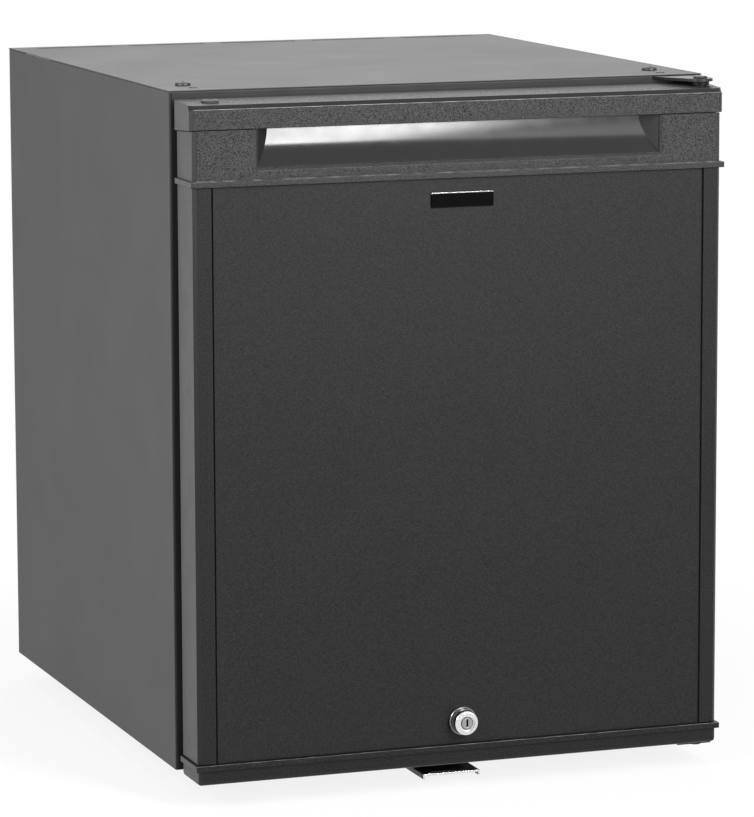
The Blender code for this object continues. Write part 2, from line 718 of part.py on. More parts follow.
def make_insulation():
    """The foam between the casing and the liner."""
    top = SHEET_TOP - SEAT_GAP
    bottom = SHEET + SEAT_GAP
    foam = add_box("insulation", (-INSIDE_SIDE, FOAM_FRONT, bottom), (INSIDE_SIDE, BOX_BACK, top), FOAM)
    wall = LINER_SHEET + SEAT_GAP
    pocket_low = (-CAVITY_SIDE - wall, -PAST, FLOOR_WALL - wall)
    cut_box(foam, pocket_low, (CAVITY_SIDE + wall, CAVITY_BACK + wall, CAVITY_CEILING + wall))
    leaf_low = (LEAF_LEFT - HOLE_GAP, -PAST, TOP_HINGE_Z - SEAT_GAP)
    cut_box(foam, leaf_low, (HALF_WIDTH, HINGE_LEAF_DEPTH + HOLE_GAP, CABINET_HEIGHT))
    for x in (-SCREW_X, SCREW_X):
        start = (x, SCREW_FRONT_INSET, CABINET_HEIGHT - SCREW_LENGTH - HOLE_GAP)
        drill(foam, SCREW_SHANK_RADIUS + HOLE_GAP, start, SCREW_LENGTH + PAST, "Z", sides=SMALL_SIDES)
    for name in ("front_foot_left", "front_foot_right"):
        start = (*FOOT_PLACES[name], -PAST)
        length = PAST + FOOT_STUD_LENGTH + HOLE_GAP
        drill(foam, FOOT_STUD_RADIUS + HOLE_GAP, start, length, "Z", sides=SMALL_SIDES)
    drill_exchanger_hole(foam)


def make_liner():
    """The white inner box, with a flange to the casing and a pair of runners under each shelf."""
    low = (-CAVITY_SIDE - LINER_SHEET, 0, FLOOR_WALL - LINER_SHEET)
    high = (CAVITY_SIDE + LINER_SHEET, CAVITY_BACK + LINER_SHEET, CAVITY_CEILING + LINER_SHEET)
    liner = add_box("inner_liner", low, high, WHITE_LINER)
    flange_low = (-FLANGE_SIDE, 0, LINER_FLANGE_BOTTOM)
    join_box(liner, flange_low, (FLANGE_SIDE, LINER_SHEET, LINER_FLANGE_TOP))
    cut_box(liner, (-CAVITY_SIDE, -PAST, FLOOR_WALL), (CAVITY_SIDE, CAVITY_BACK, CAVITY_CEILING))
    for rise in SHELF_RISES.values():
        top = rise - SEAT_GAP
        for side in (-1, 1):
            ends = (side * (CAVITY_SIDE - RUNNER_WIDTH), side * (CAVITY_SIDE + LINER_SHEET / 2))
            low = (min(ends), SHELF_FRONT - RUNNER_OVERLAP, top - RUNNER_HEIGHT)
            join_box(liner, low, (max(ends), SHELF_BACK + RUNNER_OVERLAP, top))
    drill_exchanger_hole(liner)


def make_feet():
    profile = [
        (0, FOOT_STUD_LENGTH),
        (FOOT_STUD_RADIUS, FOOT_STUD_LENGTH),
        (FOOT_STUD_RADIUS, -SEAT_GAP),
        (FOOT_RADIUS - FOOT_EDGE, -SEAT_GAP),
        (FOOT_RADIUS, -SEAT_GAP - FOOT_EDGE),
        (FOOT_RADIUS, FOOT_EDGE - FOOT_HEIGHT),
        (FOOT_RADIUS - FOOT_EDGE, -FOOT_HEIGHT),
        (0, -FOOT_HEIGHT),
    ]
    for name, (x, y) in FOOT_PLACES.items():
        turned(name, profile, (x, y, 0), "Z", RUBBER, sides=TURNED_SIDES)


def make_top_screws():
    crown = SEAT_GAP + SCREW_HEAD_HEIGHT
    profile = [
        (0, crown),
        (SCREW_CROWN_RADIUS, crown),
        (SCREW_HEAD_RADIUS, SEAT_GAP + SCREW_RIM_HEIGHT),
        (SCREW_HEAD_RADIUS, SEAT_GAP),
        (SCREW_SHANK_RADIUS, SEAT_GAP),
        (SCREW_SHANK_RADIUS, -SCREW_LENGTH),
        (0, -SCREW_LENGTH),
    ]
    for name, x in (("top_screw_left", -SCREW_X), ("top_screw_right", SCREW_X)):
        turned(name, profile, (x, SCREW_FRONT_INSET, CABINET_HEIGHT), "Z", BLACK_PAINT, sides=TURNED_SIDES)


def make_shelves():
    """Slatted shelves with a lip at the front, which rest on the liner's runners."""
    side = CAVITY_SIDE - SHELF_SIDE_GAP
    slots = int((2 * side - 2 * SHELF_RIM - SHELF_SLOT) / SHELF_SLOT_PITCH) + 1
    first = (1 - slots) / 2 * SHELF_SLOT_PITCH
    for name, rise in SHELF_RISES.items():
        top = rise + SHELF_THICKNESS
        shelf = add_box(name, (-side, SHELF_FRONT, rise), (side, SHELF_BACK, top), WHITE_LINER)
        join_box(shelf, (-side, SHELF_FRONT, rise), (side, SHELF_FRONT + SHELF_THICKNESS, top + SHELF_LIP))
        slot_low = (first - SHELF_SLOT / 2, SHELF_FRONT + SHELF_RIM, rise - PAST)
        slot_high = (first + SHELF_SLOT / 2, SHELF_BACK - SHELF_RIM, top + PAST)
        cut_row(shelf, slot_low, slot_high, SHELF_SLOT_PITCH, slots)


def make_thermostat():
    """The thermostat and lamp block under the cavity's ceiling, on the right."""
    right = CAVITY_SIDE - SEAT_GAP
    left = right - THERMOSTAT_WIDTH
    top = CAVITY_CEILING - SEAT_GAP
    bottom = top - THERMOSTAT_HEIGHT
    back = THERMOSTAT_FRONT + THERMOSTAT_DEPTH
    housing = add_box("thermostat_housing", (left, THERMOSTAT_FRONT, bottom), (right, back, top), WHITE_LINER)
    bevel_edges(housing, lambda a, b: max(a.y, b.y, a.z, b.z) < 0, THERMOSTAT_ROUND, 2)
    knob_x, knob_z = (left + right) / 2, (bottom + top) / 2
    knob_front = THERMOSTAT_FRONT - SEAT_GAP - KNOB_DEPTH
    knob = add_rod("thermostat_knob", KNOB_RADIUS, (knob_x, knob_front, knob_z), KNOB_DEPTH, "Y", WHITE_LINER)
    grip_half = KNOB_RADIUS - SEAT_GAP
    grip_low = (knob_x - KNOB_GRIP_WIDTH / 2, knob_front - KNOB_GRIP_HEIGHT, knob_z - grip_half)
    join_box(knob, grip_low, (knob_x + KNOB_GRIP_WIDTH / 2, knob_front + KNOB_DEPTH / 2, knob_z + grip_half))
    sensor_start = (EVAPORATOR_HALF - FIN_SHEET / 2, back + SEAT_GAP, bottom + 2 * SENSOR_RADIUS)
    sensor_length = CAVITY_BACK - SEAT_GAP - EVAPORATOR_PLATE - FIN_DEPTH - SEAT_GAP - sensor_start[1]
    sensor = ("thermostat_sensor", SENSOR_RADIUS, sensor_start, sensor_length)
    add_rod(*sensor, "Y", ALUMINIUM, sides=SMALL_SIDES)
    lamp_front = THERMOSTAT_FRONT + (THERMOSTAT_DEPTH - LAMP_DEPTH) / 2
    lamp_low = (left - SEAT_GAP - LAMP_WIDTH, lamp_front, top - LAMP_HEIGHT)
    lamp = add_box("lamp_lens", lamp_low, (left - SEAT_GAP, lamp_front + LAMP_DEPTH, top), LENS)
    bevel_edges(lamp, lambda a, b: max(a.x, b.x, a.z, b.z) < 0, LAMP_ROUND, 3)


def make_door_switch():
    """A plunger switch under the ceiling, which the closed door presses in."""
    top = CAVITY_CEILING - SEAT_GAP
    low = (SWITCH_SIDE, SWITCH_FRONT, top - SWITCH_HEIGHT)
    high = (SWITCH_SIDE + SWITCH_WIDTH, SWITCH_FRONT + SWITCH_DEPTH, top)
    body = add_box("door_switch_body", low, high, WHITE_LINER)
    line = (SWITCH_SIDE + SWITCH_WIDTH / 2, CAVITY_CEILING - PLUNGER_DROP)
    bore = PLUNGER_RADIUS + PIN_CLEARANCE
    bore_length = SWITCH_FRONT + PLUNGER_GUIDE + PIN_CLEARANCE
    drill(body, bore, (line[0], 0, line[1]), bore_length, "Y", sides=SMALL_SIDES)
    tip = DOOR_BACK + SEAT_GAP
    length = SWITCH_FRONT + PLUNGER_GUIDE - tip
    start = (line[0], tip, line[1])
    add_rod("door_switch_plunger", PLUNGER_RADIUS, start, length, "Y", WHITE_LINER, sides=SMALL_SIDES)


def comb_outline(left, right, sheet, pitch, bar_low, bar_high, fin_low, fin_high):
    """A finned section: a bar from left to right, with fins across it at this pitch, one at each end."""
    count = int((right - left - sheet) / pitch)
    step = (right - left - sheet) / count
    starts = [left + i * step for i in range(count + 1)]
    below, above = [], []
    for x in starts:
        below += [(x, bar_low), (x, fin_low), (x + sheet, fin_low), (x + sheet, bar_low)]
        above += [(x, bar_high), (x, fin_high), (x + sheet, fin_high), (x + sheet, bar_high)]
    points = []
    for point in below + above[::-1]:
        if not points or math.dist(point, points[-1]) > 1e-7:
            points.append(point)
    return points


def make_evaporator():
    """The cold finned block on the cavity's rear wall."""
    back = CAVITY_BACK - SEAT_GAP
    bar_front = back - EVAPORATOR_PLATE
    half = EVAPORATOR_HALF
    points = comb_outline(-half, half, FIN_SHEET, FIN_PITCH, bar_front, back, bar_front - FIN_DEPTH, back)
    middle = (EVAPORATOR_TOP + EVAPORATOR_BOTTOM) / 2
    add_outline("evaporator", [points], EVAPORATOR_HEIGHT, "XY", (0, 0, middle), ALUMINIUM)


def make_cooling_unit():
    side = HALF_WIDTH - BEND_RADIUS - SEAT_GAP
    for name, rise in (("unit_rail_lower", LOWER_RAIL_RISE), ("unit_rail_upper", UPPER_RAIL_RISE)):
        low = (-side, RAIL_BACK - RAIL_SHEET, rise - RAIL_HEIGHT / 2)
        add_box(name, low, (side, RAIL_BACK, rise + RAIL_HEIGHT / 2), GREY_STEEL)

    start = Vector((EXCHANGER_SIDE, CAVITY_BACK, EXCHANGER_RISE))
    corner = (EXCHANGER_SIDE, UNIT_LINE, EXCHANGER_RISE)
    end = (EXCHANGER_SIDE, UNIT_LINE, VESSEL_TOP + SEAT_GAP)
    route = rounded_route([start, corner, end], EXCHANGER_BEND)
    tube("gas_heat_exchanger", route, EXCHANGER_RADIUS, GREY_STEEL)

    fins = (UPPER_RAIL_RISE - CONDENSER_FIN / 2, UPPER_RAIL_RISE + CONDENSER_FIN / 2)
    bar = (UPPER_RAIL_RISE - CONDENSER_BAR / 2, UPPER_RAIL_RISE + CONDENSER_BAR / 2)
    points = comb_outline(CONDENSER_LEFT, CONDENSER_RIGHT, FIN_SHEET, FIN_PITCH, *bar, *fins)
    place = (0, UNIT_BACK - CONDENSER_DEPTH / 2, 0)
    add_outline("condenser", [points], CONDENSER_DEPTH, "XZ", place, ALUMINIUM)

    tube("absorber_coil", coil_route(), COIL_RADIUS, GREY_STEEL)
    make_absorber_vessel()
    make_boiler()


def coil_route():
    """From the condenser's left end, down and to and fro, to the top of the vessel."""
    y = UNIT_LINE
    level = COIL_TOP
    feed = CONDENSER_LEFT - COIL_PITCH / 2
    corners = [(CONDENSER_LEFT - SEAT_GAP, UPPER_RAIL_RISE), (feed, UPPER_RAIL_RISE), (feed, level)]
    for run in range(COIL_RUNS - 1):
        turn = COIL_RIGHT if run % 2 == 0 else CONDENSER_LEFT
        corners += [(turn, level), (turn, level - COIL_PITCH)]
        level -= COIL_PITCH
    corners += [(COIL_RIGHT, level), (COIL_RIGHT, VESSEL_TOP + SEAT_GAP)]
    return rounded_route([(x, y, z) for x, z in corners], COIL_PITCH / 2 - COIL_STRAIGHT)


def make_absorber_vessel():
    """A hollow steel drum with domed ends, open where the coil enters it."""
    radius, wall = VESSEL_RADIUS, VESSEL_WALL
    half = (VESSEL_RIGHT - VESSEL_LEFT) / 2
    dome = radius / 2
    dome_start = half - dome
    outer = [(radius * math.cos(t), dome_start + dome * math.sin(t)) for t in dome_angles()]
    bore, inner_dome = radius - wall, dome - wall
    inner = [(bore * math.cos(t), dome_start + inner_dome * math.sin(t)) for t in dome_angles()]
    profile = outer[::-1] + [(r, -h) for r, h in outer]
    place = ((VESSEL_LEFT + VESSEL_RIGHT) / 2, UNIT_LINE, LOWER_RAIL_RISE)
    vessel = turned("absorber_vessel", profile, place, "X", GREY_STEEL)
    hollow = turned("vessel_hollow", inner[::-1] + [(r, -h) for r, h in inner], place, "X", GREY_STEEL)
    combine(vessel, to_cutter(hollow), "DIFFERENCE")
    coil_entry = (COIL_RIGHT, UNIT_LINE, LOWER_RAIL_RISE)
    drill(vessel, COIL_RADIUS - wall, coil_entry, 2 * radius, "Z", sides=SMALL_SIDES)


def dome_angles(steps=4):
    return [math.radians(90 * i / steps) for i in range(steps + 1)]


def to_cutter(piece):
    """Turns a piece into a tool that only cuts."""
    PARTS.objects.unlink(piece)
    CUTTERS.objects.link(piece)
    piece.hide_render = True
    piece.display_type = "WIRE"
    return piece


def make_boiler():
    """The boiler pipe and its heater, in a sheet casing that is open below."""
    low = (BOILER_LEFT, UNIT_BACK - BOILER_DEPTH, BOILER_BOTTOM)
    casing = add_box("boiler_casing", low, (BOILER_RIGHT, UNIT_BACK, BOILER_TOP), GREY_STEEL)
    inner_low = (BOILER_LEFT + BOILER_SHEET, low[1] + BOILER_SHEET, BOILER_BOTTOM - PAST)
    inner_high = (BOILER_RIGHT - BOILER_SHEET, UNIT_BACK - BOILER_SHEET, BOILER_TOP - BOILER_SHEET)
    cut_box(casing, inner_low, inner_high)
    pipe_x = (BOILER_LEFT + BOILER_RIGHT) / 2
    hole = BOILER_PIPE_RADIUS + HOLE_GAP
    drill(casing, hole, (pipe_x, UNIT_LINE, BOILER_TOP - PAST), 2 * PAST, "Z")
    start = (pipe_x, UNIT_LINE, BOILER_PIPE_BOTTOM)
    corner = (pipe_x, UNIT_LINE, UPPER_RAIL_RISE)
    end = (CONDENSER_RIGHT + SEAT_GAP, UNIT_LINE, UPPER_RAIL_RISE)
    tube("boiler_pipe", rounded_route([start, corner, end], BOILER_BEND), BOILER_PIPE_RADIUS, GREY_STEEL)
    heater_x = pipe_x - BOILER_PIPE_RADIUS - SEAT_GAP - HEATER_RADIUS
    start = (heater_x, UNIT_LINE, HEATER_BOTTOM)
    add_rod("heater_element", HEATER_RADIUS, start, HEATER_TOP - HEATER_BOTTOM, "Z", BARE_STEEL)


def make_control_box():
    """The box that the mains lead enters, on the base behind the insulated part."""
    front = BOX_BACK + CONTROL_FRONT_GAP
    bottom = SHEET + SEAT_GAP
    back = front + CONTROL_DEPTH
    high = (CONTROL_RIGHT, back, bottom + CONTROL_HEIGHT)
    box = add_box("control_box", (CONTROL_LEFT, front, bottom), high, GREY_STEEL)
    bevel_edges(box, lambda a, b: a.z > 0 and b.z > 0, CONTROL_LID)
    gland_place = ((CONTROL_LEFT + CONTROL_RIGHT) / 2, back + SEAT_GAP, bottom + CONTROL_HEIGHT / 2)
    gland = add_rod("cord_inlet", GLAND_RADIUS, gland_place, GLAND_LENGTH, "Y", RUBBER, sides=TURNED_SIDES)
    bore_start = (gland_place[0], gland_place[1] + GLAND_LENGTH / 3, gland_place[2])
    drill(gland, GLAND_RADIUS / 2, bore_start, GLAND_LENGTH, "Y", sides=SMALL_SIDES)


def make_door_core():
    """The foam that fills the door, with a pocket for the lock and holes for the hinge bushes."""
    back_above = DOOR_BACK - DOOR_SKIN - SEAT_GAP
    section = [
        (CORE_FRONT, CORE_BOTTOM),
        (CORE_BACK, CORE_BOTTOM),
        (CORE_BACK, HANDLE_BOTTOM),
        (back_above, HANDLE_BOTTOM),
        (back_above, DOOR_TOP - TOP_CAP_RISE - DOOR_SKIN - SEAT_GAP),
        (SCOOP_BACK + SEAT_GAP, DOOR_TOP - TOP_CAP_RISE - DOOR_SKIN - SEAT_GAP),
        (SCOOP_BACK + SEAT_GAP, HANDLE_BOTTOM - SEAT_GAP),
        (CORE_FRONT, HANDLE_BOTTOM - SEAT_GAP),
    ]
    core = add_outline("door_core", [section], 2 * CORE_SIDE, "YZ", (0, 0, 0), FOAM, DOOR)
    drill(core, LOCK_BARREL_RADIUS + HOLE_GAP, (0, DOOR_FRONT, LOCK_Z), LOCK_INSIDE_LENGTH, "Y", DOOR)
    pocket_low = (-CAM_SWEEP - CAM_ROOM, POCKET_FRONT, DOOR_BOTTOM)
    pocket_high = (NUT_RADIUS + CAM_ROOM, DOOR_BACK, LOCK_Z + NUT_RADIUS + CAM_ROOM)
    cut_box(core, pocket_low, pocket_high, DOOR)
    bore = BUSH_RADIUS + HOLE_GAP
    drill(core, bore, (HINGE_X, HINGE_Y, DOOR_BOTTOM), BUSH_DEPTH + HOLE_GAP, "Z", DOOR, SMALL_SIDES)
    for x in (HINGE_X, SPARE_HOLE_INSET - HALF_WIDTH):
        start = (x, HINGE_Y, BUSH_SEAT - BUSH_DEPTH - HOLE_GAP)
        drill(core, bore, start, 2 * BUSH_DEPTH, "Z", DOOR, SMALL_SIDES)


def make_front_panel():
    side = DOOR_SIDE - TRIM_FACE - PANEL_GAP
    low = (-side, PANEL_FRONT, BOTTOM_LEDGE + SEAT_GAP)
    high = (side, PANEL_FRONT + PANEL_SHEET, HANDLE_BOTTOM - SEAT_GAP)
    panel = add_box("door_front_panel", low, high, PANEL_LAMINATE, DOOR)
    drill(panel, LOCK_BARREL_RADIUS + HOLE_GAP, (0, DOOR_FRONT, LOCK_Z), PAST, "Y", DOOR)


def make_badge():
    """A blank plate on the panel's upper middle."""
    back = PANEL_FRONT - SEAT_GAP
    top = HANDLE_BOTTOM - BADGE_TOP_INSET
    low = (-BADGE_WIDTH / 2, back - BADGE_SHEET, top - BADGE_HEIGHT)
    add_box("badge_plate", low, (BADGE_WIDTH / 2, back, top), BADGE_BLACK, DOOR)


def make_door_trim(name, side):
    """An edge profile: a side wall and a face beside the panel, with a chamfer between them."""
    edge, front, back = DOOR_SIDE, DOOR_FRONT, DOOR_BACK
    points = [
        (edge, back),
        (edge, front + DOOR_CHAMFER),
        (edge - DOOR_CHAMFER, front),
        (edge - TRIM_FACE, front),
        (edge - TRIM_FACE, front + PANEL_RECESS + PANEL_SHEET),
        (edge - DOOR_SKIN, front + PANEL_RECESS + PANEL_SHEET),
        (edge - DOOR_SKIN, back),
    ]
    points = [(side * x, y) for x, y in points]
    bottom, top = BOTTOM_LEDGE + SEAT_GAP, HANDLE_BOTTOM - SEAT_GAP
    add_outline(name, [points], top - bottom, "XY", (0, 0, (bottom + top) / 2), DOOR_PLASTIC, DOOR)


def front_corner(a, b):
    """Whether an edge of a door piece stands upright at its front."""
    return abs(a.x - b.x) < 1e-6 and abs(a.y - b.y) < 1e-6 and a.y < 0


def make_bottom_cap():
    """The tray that closes the door below, with a ledge round its top."""
    body_low = (-DOOR_SIDE, DOOR_FRONT, DOOR_BOTTOM)
    cap = add_box("door_bottom_cap", body_low, (DOOR_SIDE, DOOR_BACK, BOTTOM_LEDGE), DOOR_PLASTIC, DOOR)
    bevel_edges(cap, lambda a, b: front_corner(a, b) or rim(a, b), BOTTOM_CAP_ROUND, 2)
    ledge_side = DOOR_SIDE + LEDGE_PROUD
    ledge_low = (-ledge_side, DOOR_FRONT - LEDGE_PROUD, BOTTOM_LEDGE - LEDGE_THICKNESS)
    join_box(cap, ledge_low, (ledge_side, DOOR_BACK, BOTTOM_LEDGE), DOOR)
    hollow_low = (-CORE_SIDE - SEAT_GAP, CORE_FRONT - SEAT_GAP, CORE_BOTTOM - SEAT_GAP)
    cut_box(cap, hollow_low, (CORE_SIDE + SEAT_GAP, CORE_BACK + SEAT_GAP, BOTTOM_LEDGE + PAST), DOOR)
    bore = BUSH_RADIUS + HOLE_GAP
    drill(cap, bore, (HINGE_X, HINGE_Y, DOOR_BOTTOM - PAST), 2 * PAST, "Z", DOOR, SMALL_SIDES)
    slot_low = (-CAM_SWEEP, CAM_FRONT - CAM_ROOM / 2, DOOR_BOTTOM - PAST)
    cut_box(cap, slot_low, (CAM_WIDTH / 2 + CAM_ROOM, CAM_BACK + CAM_ROOM / 2, DOOR_BOTTOM + PAST), DOOR)


def rim(a, b):
    """Whether an edge of the tray runs round its bottom at the front or a side."""
    return max(a.z, b.z) < 0 and not min(a.y, b.y) > 0


def handle_section(front, back, bottom, top_front, top_back):
    return [(front, bottom), (back, bottom), (back, top_back), (front, top_front)]


def make_handle_trim():
    """The grained upper part of the door's face, open for the recess, with a ledge below."""
    top_back = CAP_BOTTOM - TOP_CAP_UNDERCUT - SEAT_GAP
    top_front = CAP_BOTTOM - SEAT_GAP
    section = handle_section(DOOR_FRONT, DOOR_BACK, HANDLE_BOTTOM, top_front, top_back)
    trim = add_outline("door_handle_trim", [section], 2 * DOOR_SIDE, "YZ", (0, 0, 0), GRAINED_PLASTIC, DOOR)
    bevel_edges(trim, lambda a, b: front_upright(a, b), DOOR_CHAMFER)
    ledge_side = DOOR_SIDE + LEDGE_PROUD
    ledge_high = (ledge_side, DOOR_BACK, HANDLE_BOTTOM + LEDGE_THICKNESS)
    join_box(trim, (-ledge_side, DOOR_FRONT - LEDGE_PROUD, HANDLE_BOTTOM), ledge_high, DOOR)
    inner = CORE_SIDE + SEAT_GAP
    hollow_low = (-inner, DOOR_FRONT + DOOR_SKIN, HANDLE_BOTTOM + LEDGE_THICKNESS)
    cut_box(trim, hollow_low, (inner, DOOR_BACK + PAST, CAP_BOTTOM + PAST), DOOR)
    passage_low = (-inner, SCOOP_BACK, HANDLE_BOTTOM - PAST)
    cut_box(trim, passage_low, (inner, DOOR_BACK + PAST, CAP_BOTTOM + PAST), DOOR)
    combine(trim, recess_cutter(), "DIFFERENCE")


def front_upright(a, b):
    """Whether an edge of a door section stands upright at the door's front."""
    return abs(a.x - DOOR_FRONT) < 1e-6 and abs(b.x - DOOR_FRONT) < 1e-6 and abs(a.z - b.z) < 1e-6


def recess_section():
    """The recess from the side: out past the front, up the concave scoop, and up behind the lip."""
    scoop = []
    for i in range(SCOOP_STEPS + 1):
        height = SCOOP_HEIGHT * i / SCOOP_STEPS
        depth = SCOOP_DEPTH * math.sin(math.pi / 2 * i / SCOOP_STEPS)
        scoop.append((DOOR_FRONT + depth, RECESS_BOTTOM + height))
    pocket_top = CAP_BOTTOM + POCKET_RISE
    lip_back = DOOR_FRONT + DOOR_SKIN
    return [(DOOR_FRONT - PAST, RECESS_BOTTOM)] + scoop + [
        (DOOR_FRONT + SCOOP_DEPTH, pocket_top),
        (lip_back, pocket_top),
        (lip_back, CAP_BOTTOM),
        (DOOR_FRONT - PAST, CAP_BOTTOM),
    ]


def recess_cutter():
    """The room for the fingers: its section, narrowed towards the back by the slanted ends."""
    tool = add_cutter(outline_mesh([recess_section()], 2 * DOOR_SIDE), (0, 0, 0), DOOR, PLANES["YZ"])
    slant = SCOOP_END_SLANT / SCOOP_DEPTH
    back = DOOR_FRONT + SCOOP_DEPTH + PAST
    back_side = RECESS_SIDE - slant * (SCOOP_DEPTH + PAST)
    front = DOOR_FRONT - 2 * PAST
    plan = [
        (-RECESS_SIDE, front),
        (RECESS_SIDE, front),
        (RECESS_SIDE, DOOR_FRONT),
        (back_side, back),
        (-back_side, back),
        (-RECESS_SIDE, DOOR_FRONT),
    ]
    middle = (RECESS_BOTTOM + CAP_BOTTOM) / 2
    ends = add_cutter(outline_mesh([plan], 4 * HANDLE_HEIGHT), (0, 0, middle), DOOR)
    return combine(tool, ends, "INTERSECT")


def make_handle_scoop():
    """The gloss insert that lines the recess and the finger pocket above it."""
    side = RECESS_SIDE + SCOOP_WALL
    front = DOOR_FRONT + DOOR_SKIN + SEAT_GAP
    bottom = HANDLE_BOTTOM + LEDGE_THICKNESS + SEAT_GAP
    top = CAP_BOTTOM + POCKET_RISE + SCOOP_WALL
    scoop = add_box("handle_scoop", (-side, front, bottom), (side, SCOOP_BACK, top), GLOSS_BLACK, DOOR)
    combine(scoop, recess_cutter(), "DIFFERENCE")


def make_top_cap():
    """The cap over the door, whose lower front edge is the lip that the fingers pull."""
    crown = DOOR_TOP - TOP_CAP_RISE
    section = [
        (DOOR_FRONT, CAP_BOTTOM),
        (DOOR_BACK, CAP_BOTTOM - TOP_CAP_UNDERCUT),
        (DOOR_BACK, DOOR_TOP),
        (DOOR_FRONT + DOOR_CHAMFER, crown),
        (DOOR_FRONT, crown - DOOR_CHAMFER),
    ]
    cap = add_outline("door_top_cap", [section], 2 * CAP_SIDE, "YZ", (0, 0, 0), GRAINED_PLASTIC, DOOR)
    bevel_edges(cap, lambda a, b: front_upright(a, b) or front_slope(a, b), DOOR_CHAMFER)
    inner = CAP_SIDE - DOOR_SKIN
    hollow_low = (-inner, DOOR_FRONT + DOOR_SKIN, HANDLE_BOTTOM)
    cut_box(cap, hollow_low, (inner, DOOR_BACK - DOOR_SKIN, crown - DOOR_SKIN), DOOR)
    for x in (HINGE_X, SPARE_HOLE_INSET - HALF_WIDTH):
        start = (x, HINGE_Y, crown - DOOR_SKIN - PAST)
        drill(cap, BUSH_RADIUS + HOLE_GAP, start, 3 * PAST, "Z", DOOR, SMALL_SIDES)


def front_slope(a, b):
    """Whether an edge of the cap's end lies on its front top chamfer."""
    near = DOOR_FRONT + DOOR_CHAMFER + 1e-6
    return max(a.x, b.x) < near and abs(a.z - b.z) < 1e-6 and abs(a.x - b.x) > 1e-6


def make_inner_panel():
    """The door's white inner sheet: a raised dyke with lugs that carry the racks."""
    bottom, top = BOTTOM_LEDGE + SEAT_GAP, CAP_BOTTOM - TOP_CAP_UNDERCUT - SEAT_GAP
    front = DOOR_BACK - INNER_SHEET
    low = (-CORE_SIDE, front, bottom)
    panel = add_box("door_inner_panel", low, (CORE_SIDE, DOOR_BACK, top), WHITE_LINER, DOOR)
    inside = DYKE_SIDE - DYKE_WALL
    outlines = [
        rectangle(-DYKE_SIDE, DYKE_BOTTOM, DYKE_SIDE, DYKE_TOP),
        rectangle(-inside, DYKE_BOTTOM + DYKE_WALL, inside, DYKE_TOP - DYKE_WALL),
    ]
    thickness = DYKE_BACK - front - INNER_SHEET / 2
    place = (0, DYKE_BACK - thickness / 2, 0)
    dyke = add_cutter(outline_mesh(outlines, thickness), place, DOOR, PLANES["XZ"])
    combine(panel, dyke, "UNION")
    for rack in RACKS.values():
        lug_top = rack["rise"] - SEAT_GAP
        for side in (-1, 1):
            ends = (side * (inside - RACK_LUG_WIDTH), side * (inside + DYKE_WALL / 2))
            lug_low = (min(ends), front + INNER_SHEET / 2, lug_top - RACK_LUG_HEIGHT)
            join_box(panel, lug_low, (max(ends), DYKE_BACK - SEAT_GAP, lug_top), DOOR)


def make_racks():
    """Open bins that drop in between the dyke's sides and lift out."""
    side = DYKE_SIDE - DYKE_WALL - SEAT_GAP
    front = DOOR_BACK + SEAT_GAP
    for name, rack in RACKS.items():
        bottom, top = rack["rise"], rack["rise"] + rack["height"]
        holder = new_holder(name + "_axis", (0, front, bottom), DOOR)
        bin_low = (-side, front, bottom)
        made = add_box(name, bin_low, (side, front + rack["depth"], top), CLEAR_RACK, holder)
        inner_low = (-side + RACK_WALL, front + RACK_WALL, bottom + RACK_WALL)
        inner_high = (side - RACK_WALL, front + rack["depth"] - RACK_WALL, top + PAST)
        cut_box(made, inner_low, inner_high, holder)


def make_gasket():
    """The magnetic seal between the door and the casing's front flanges."""
    outer_side = HALF_WIDTH - GASKET_SIDE_INSET
    outer_top = CABINET_HEIGHT - GASKET_TOP_INSET
    inner_side, inner_top = outer_side - GASKET_WIDTH, outer_top - GASKET_WIDTH
    outlines = [
        rectangle(-outer_side, GASKET_BOTTOM_INSET, outer_side, outer_top),
        rectangle(-inner_side, GASKET_BOTTOM_INSET + GASKET_WIDTH, inner_side, inner_top),
    ]
    thickness = DOOR_GAP - 2 * SEAT_GAP
    add_outline("door_gasket", outlines, thickness, "XZ", (0, -DOOR_GAP / 2, 0), RUBBER, DOOR)


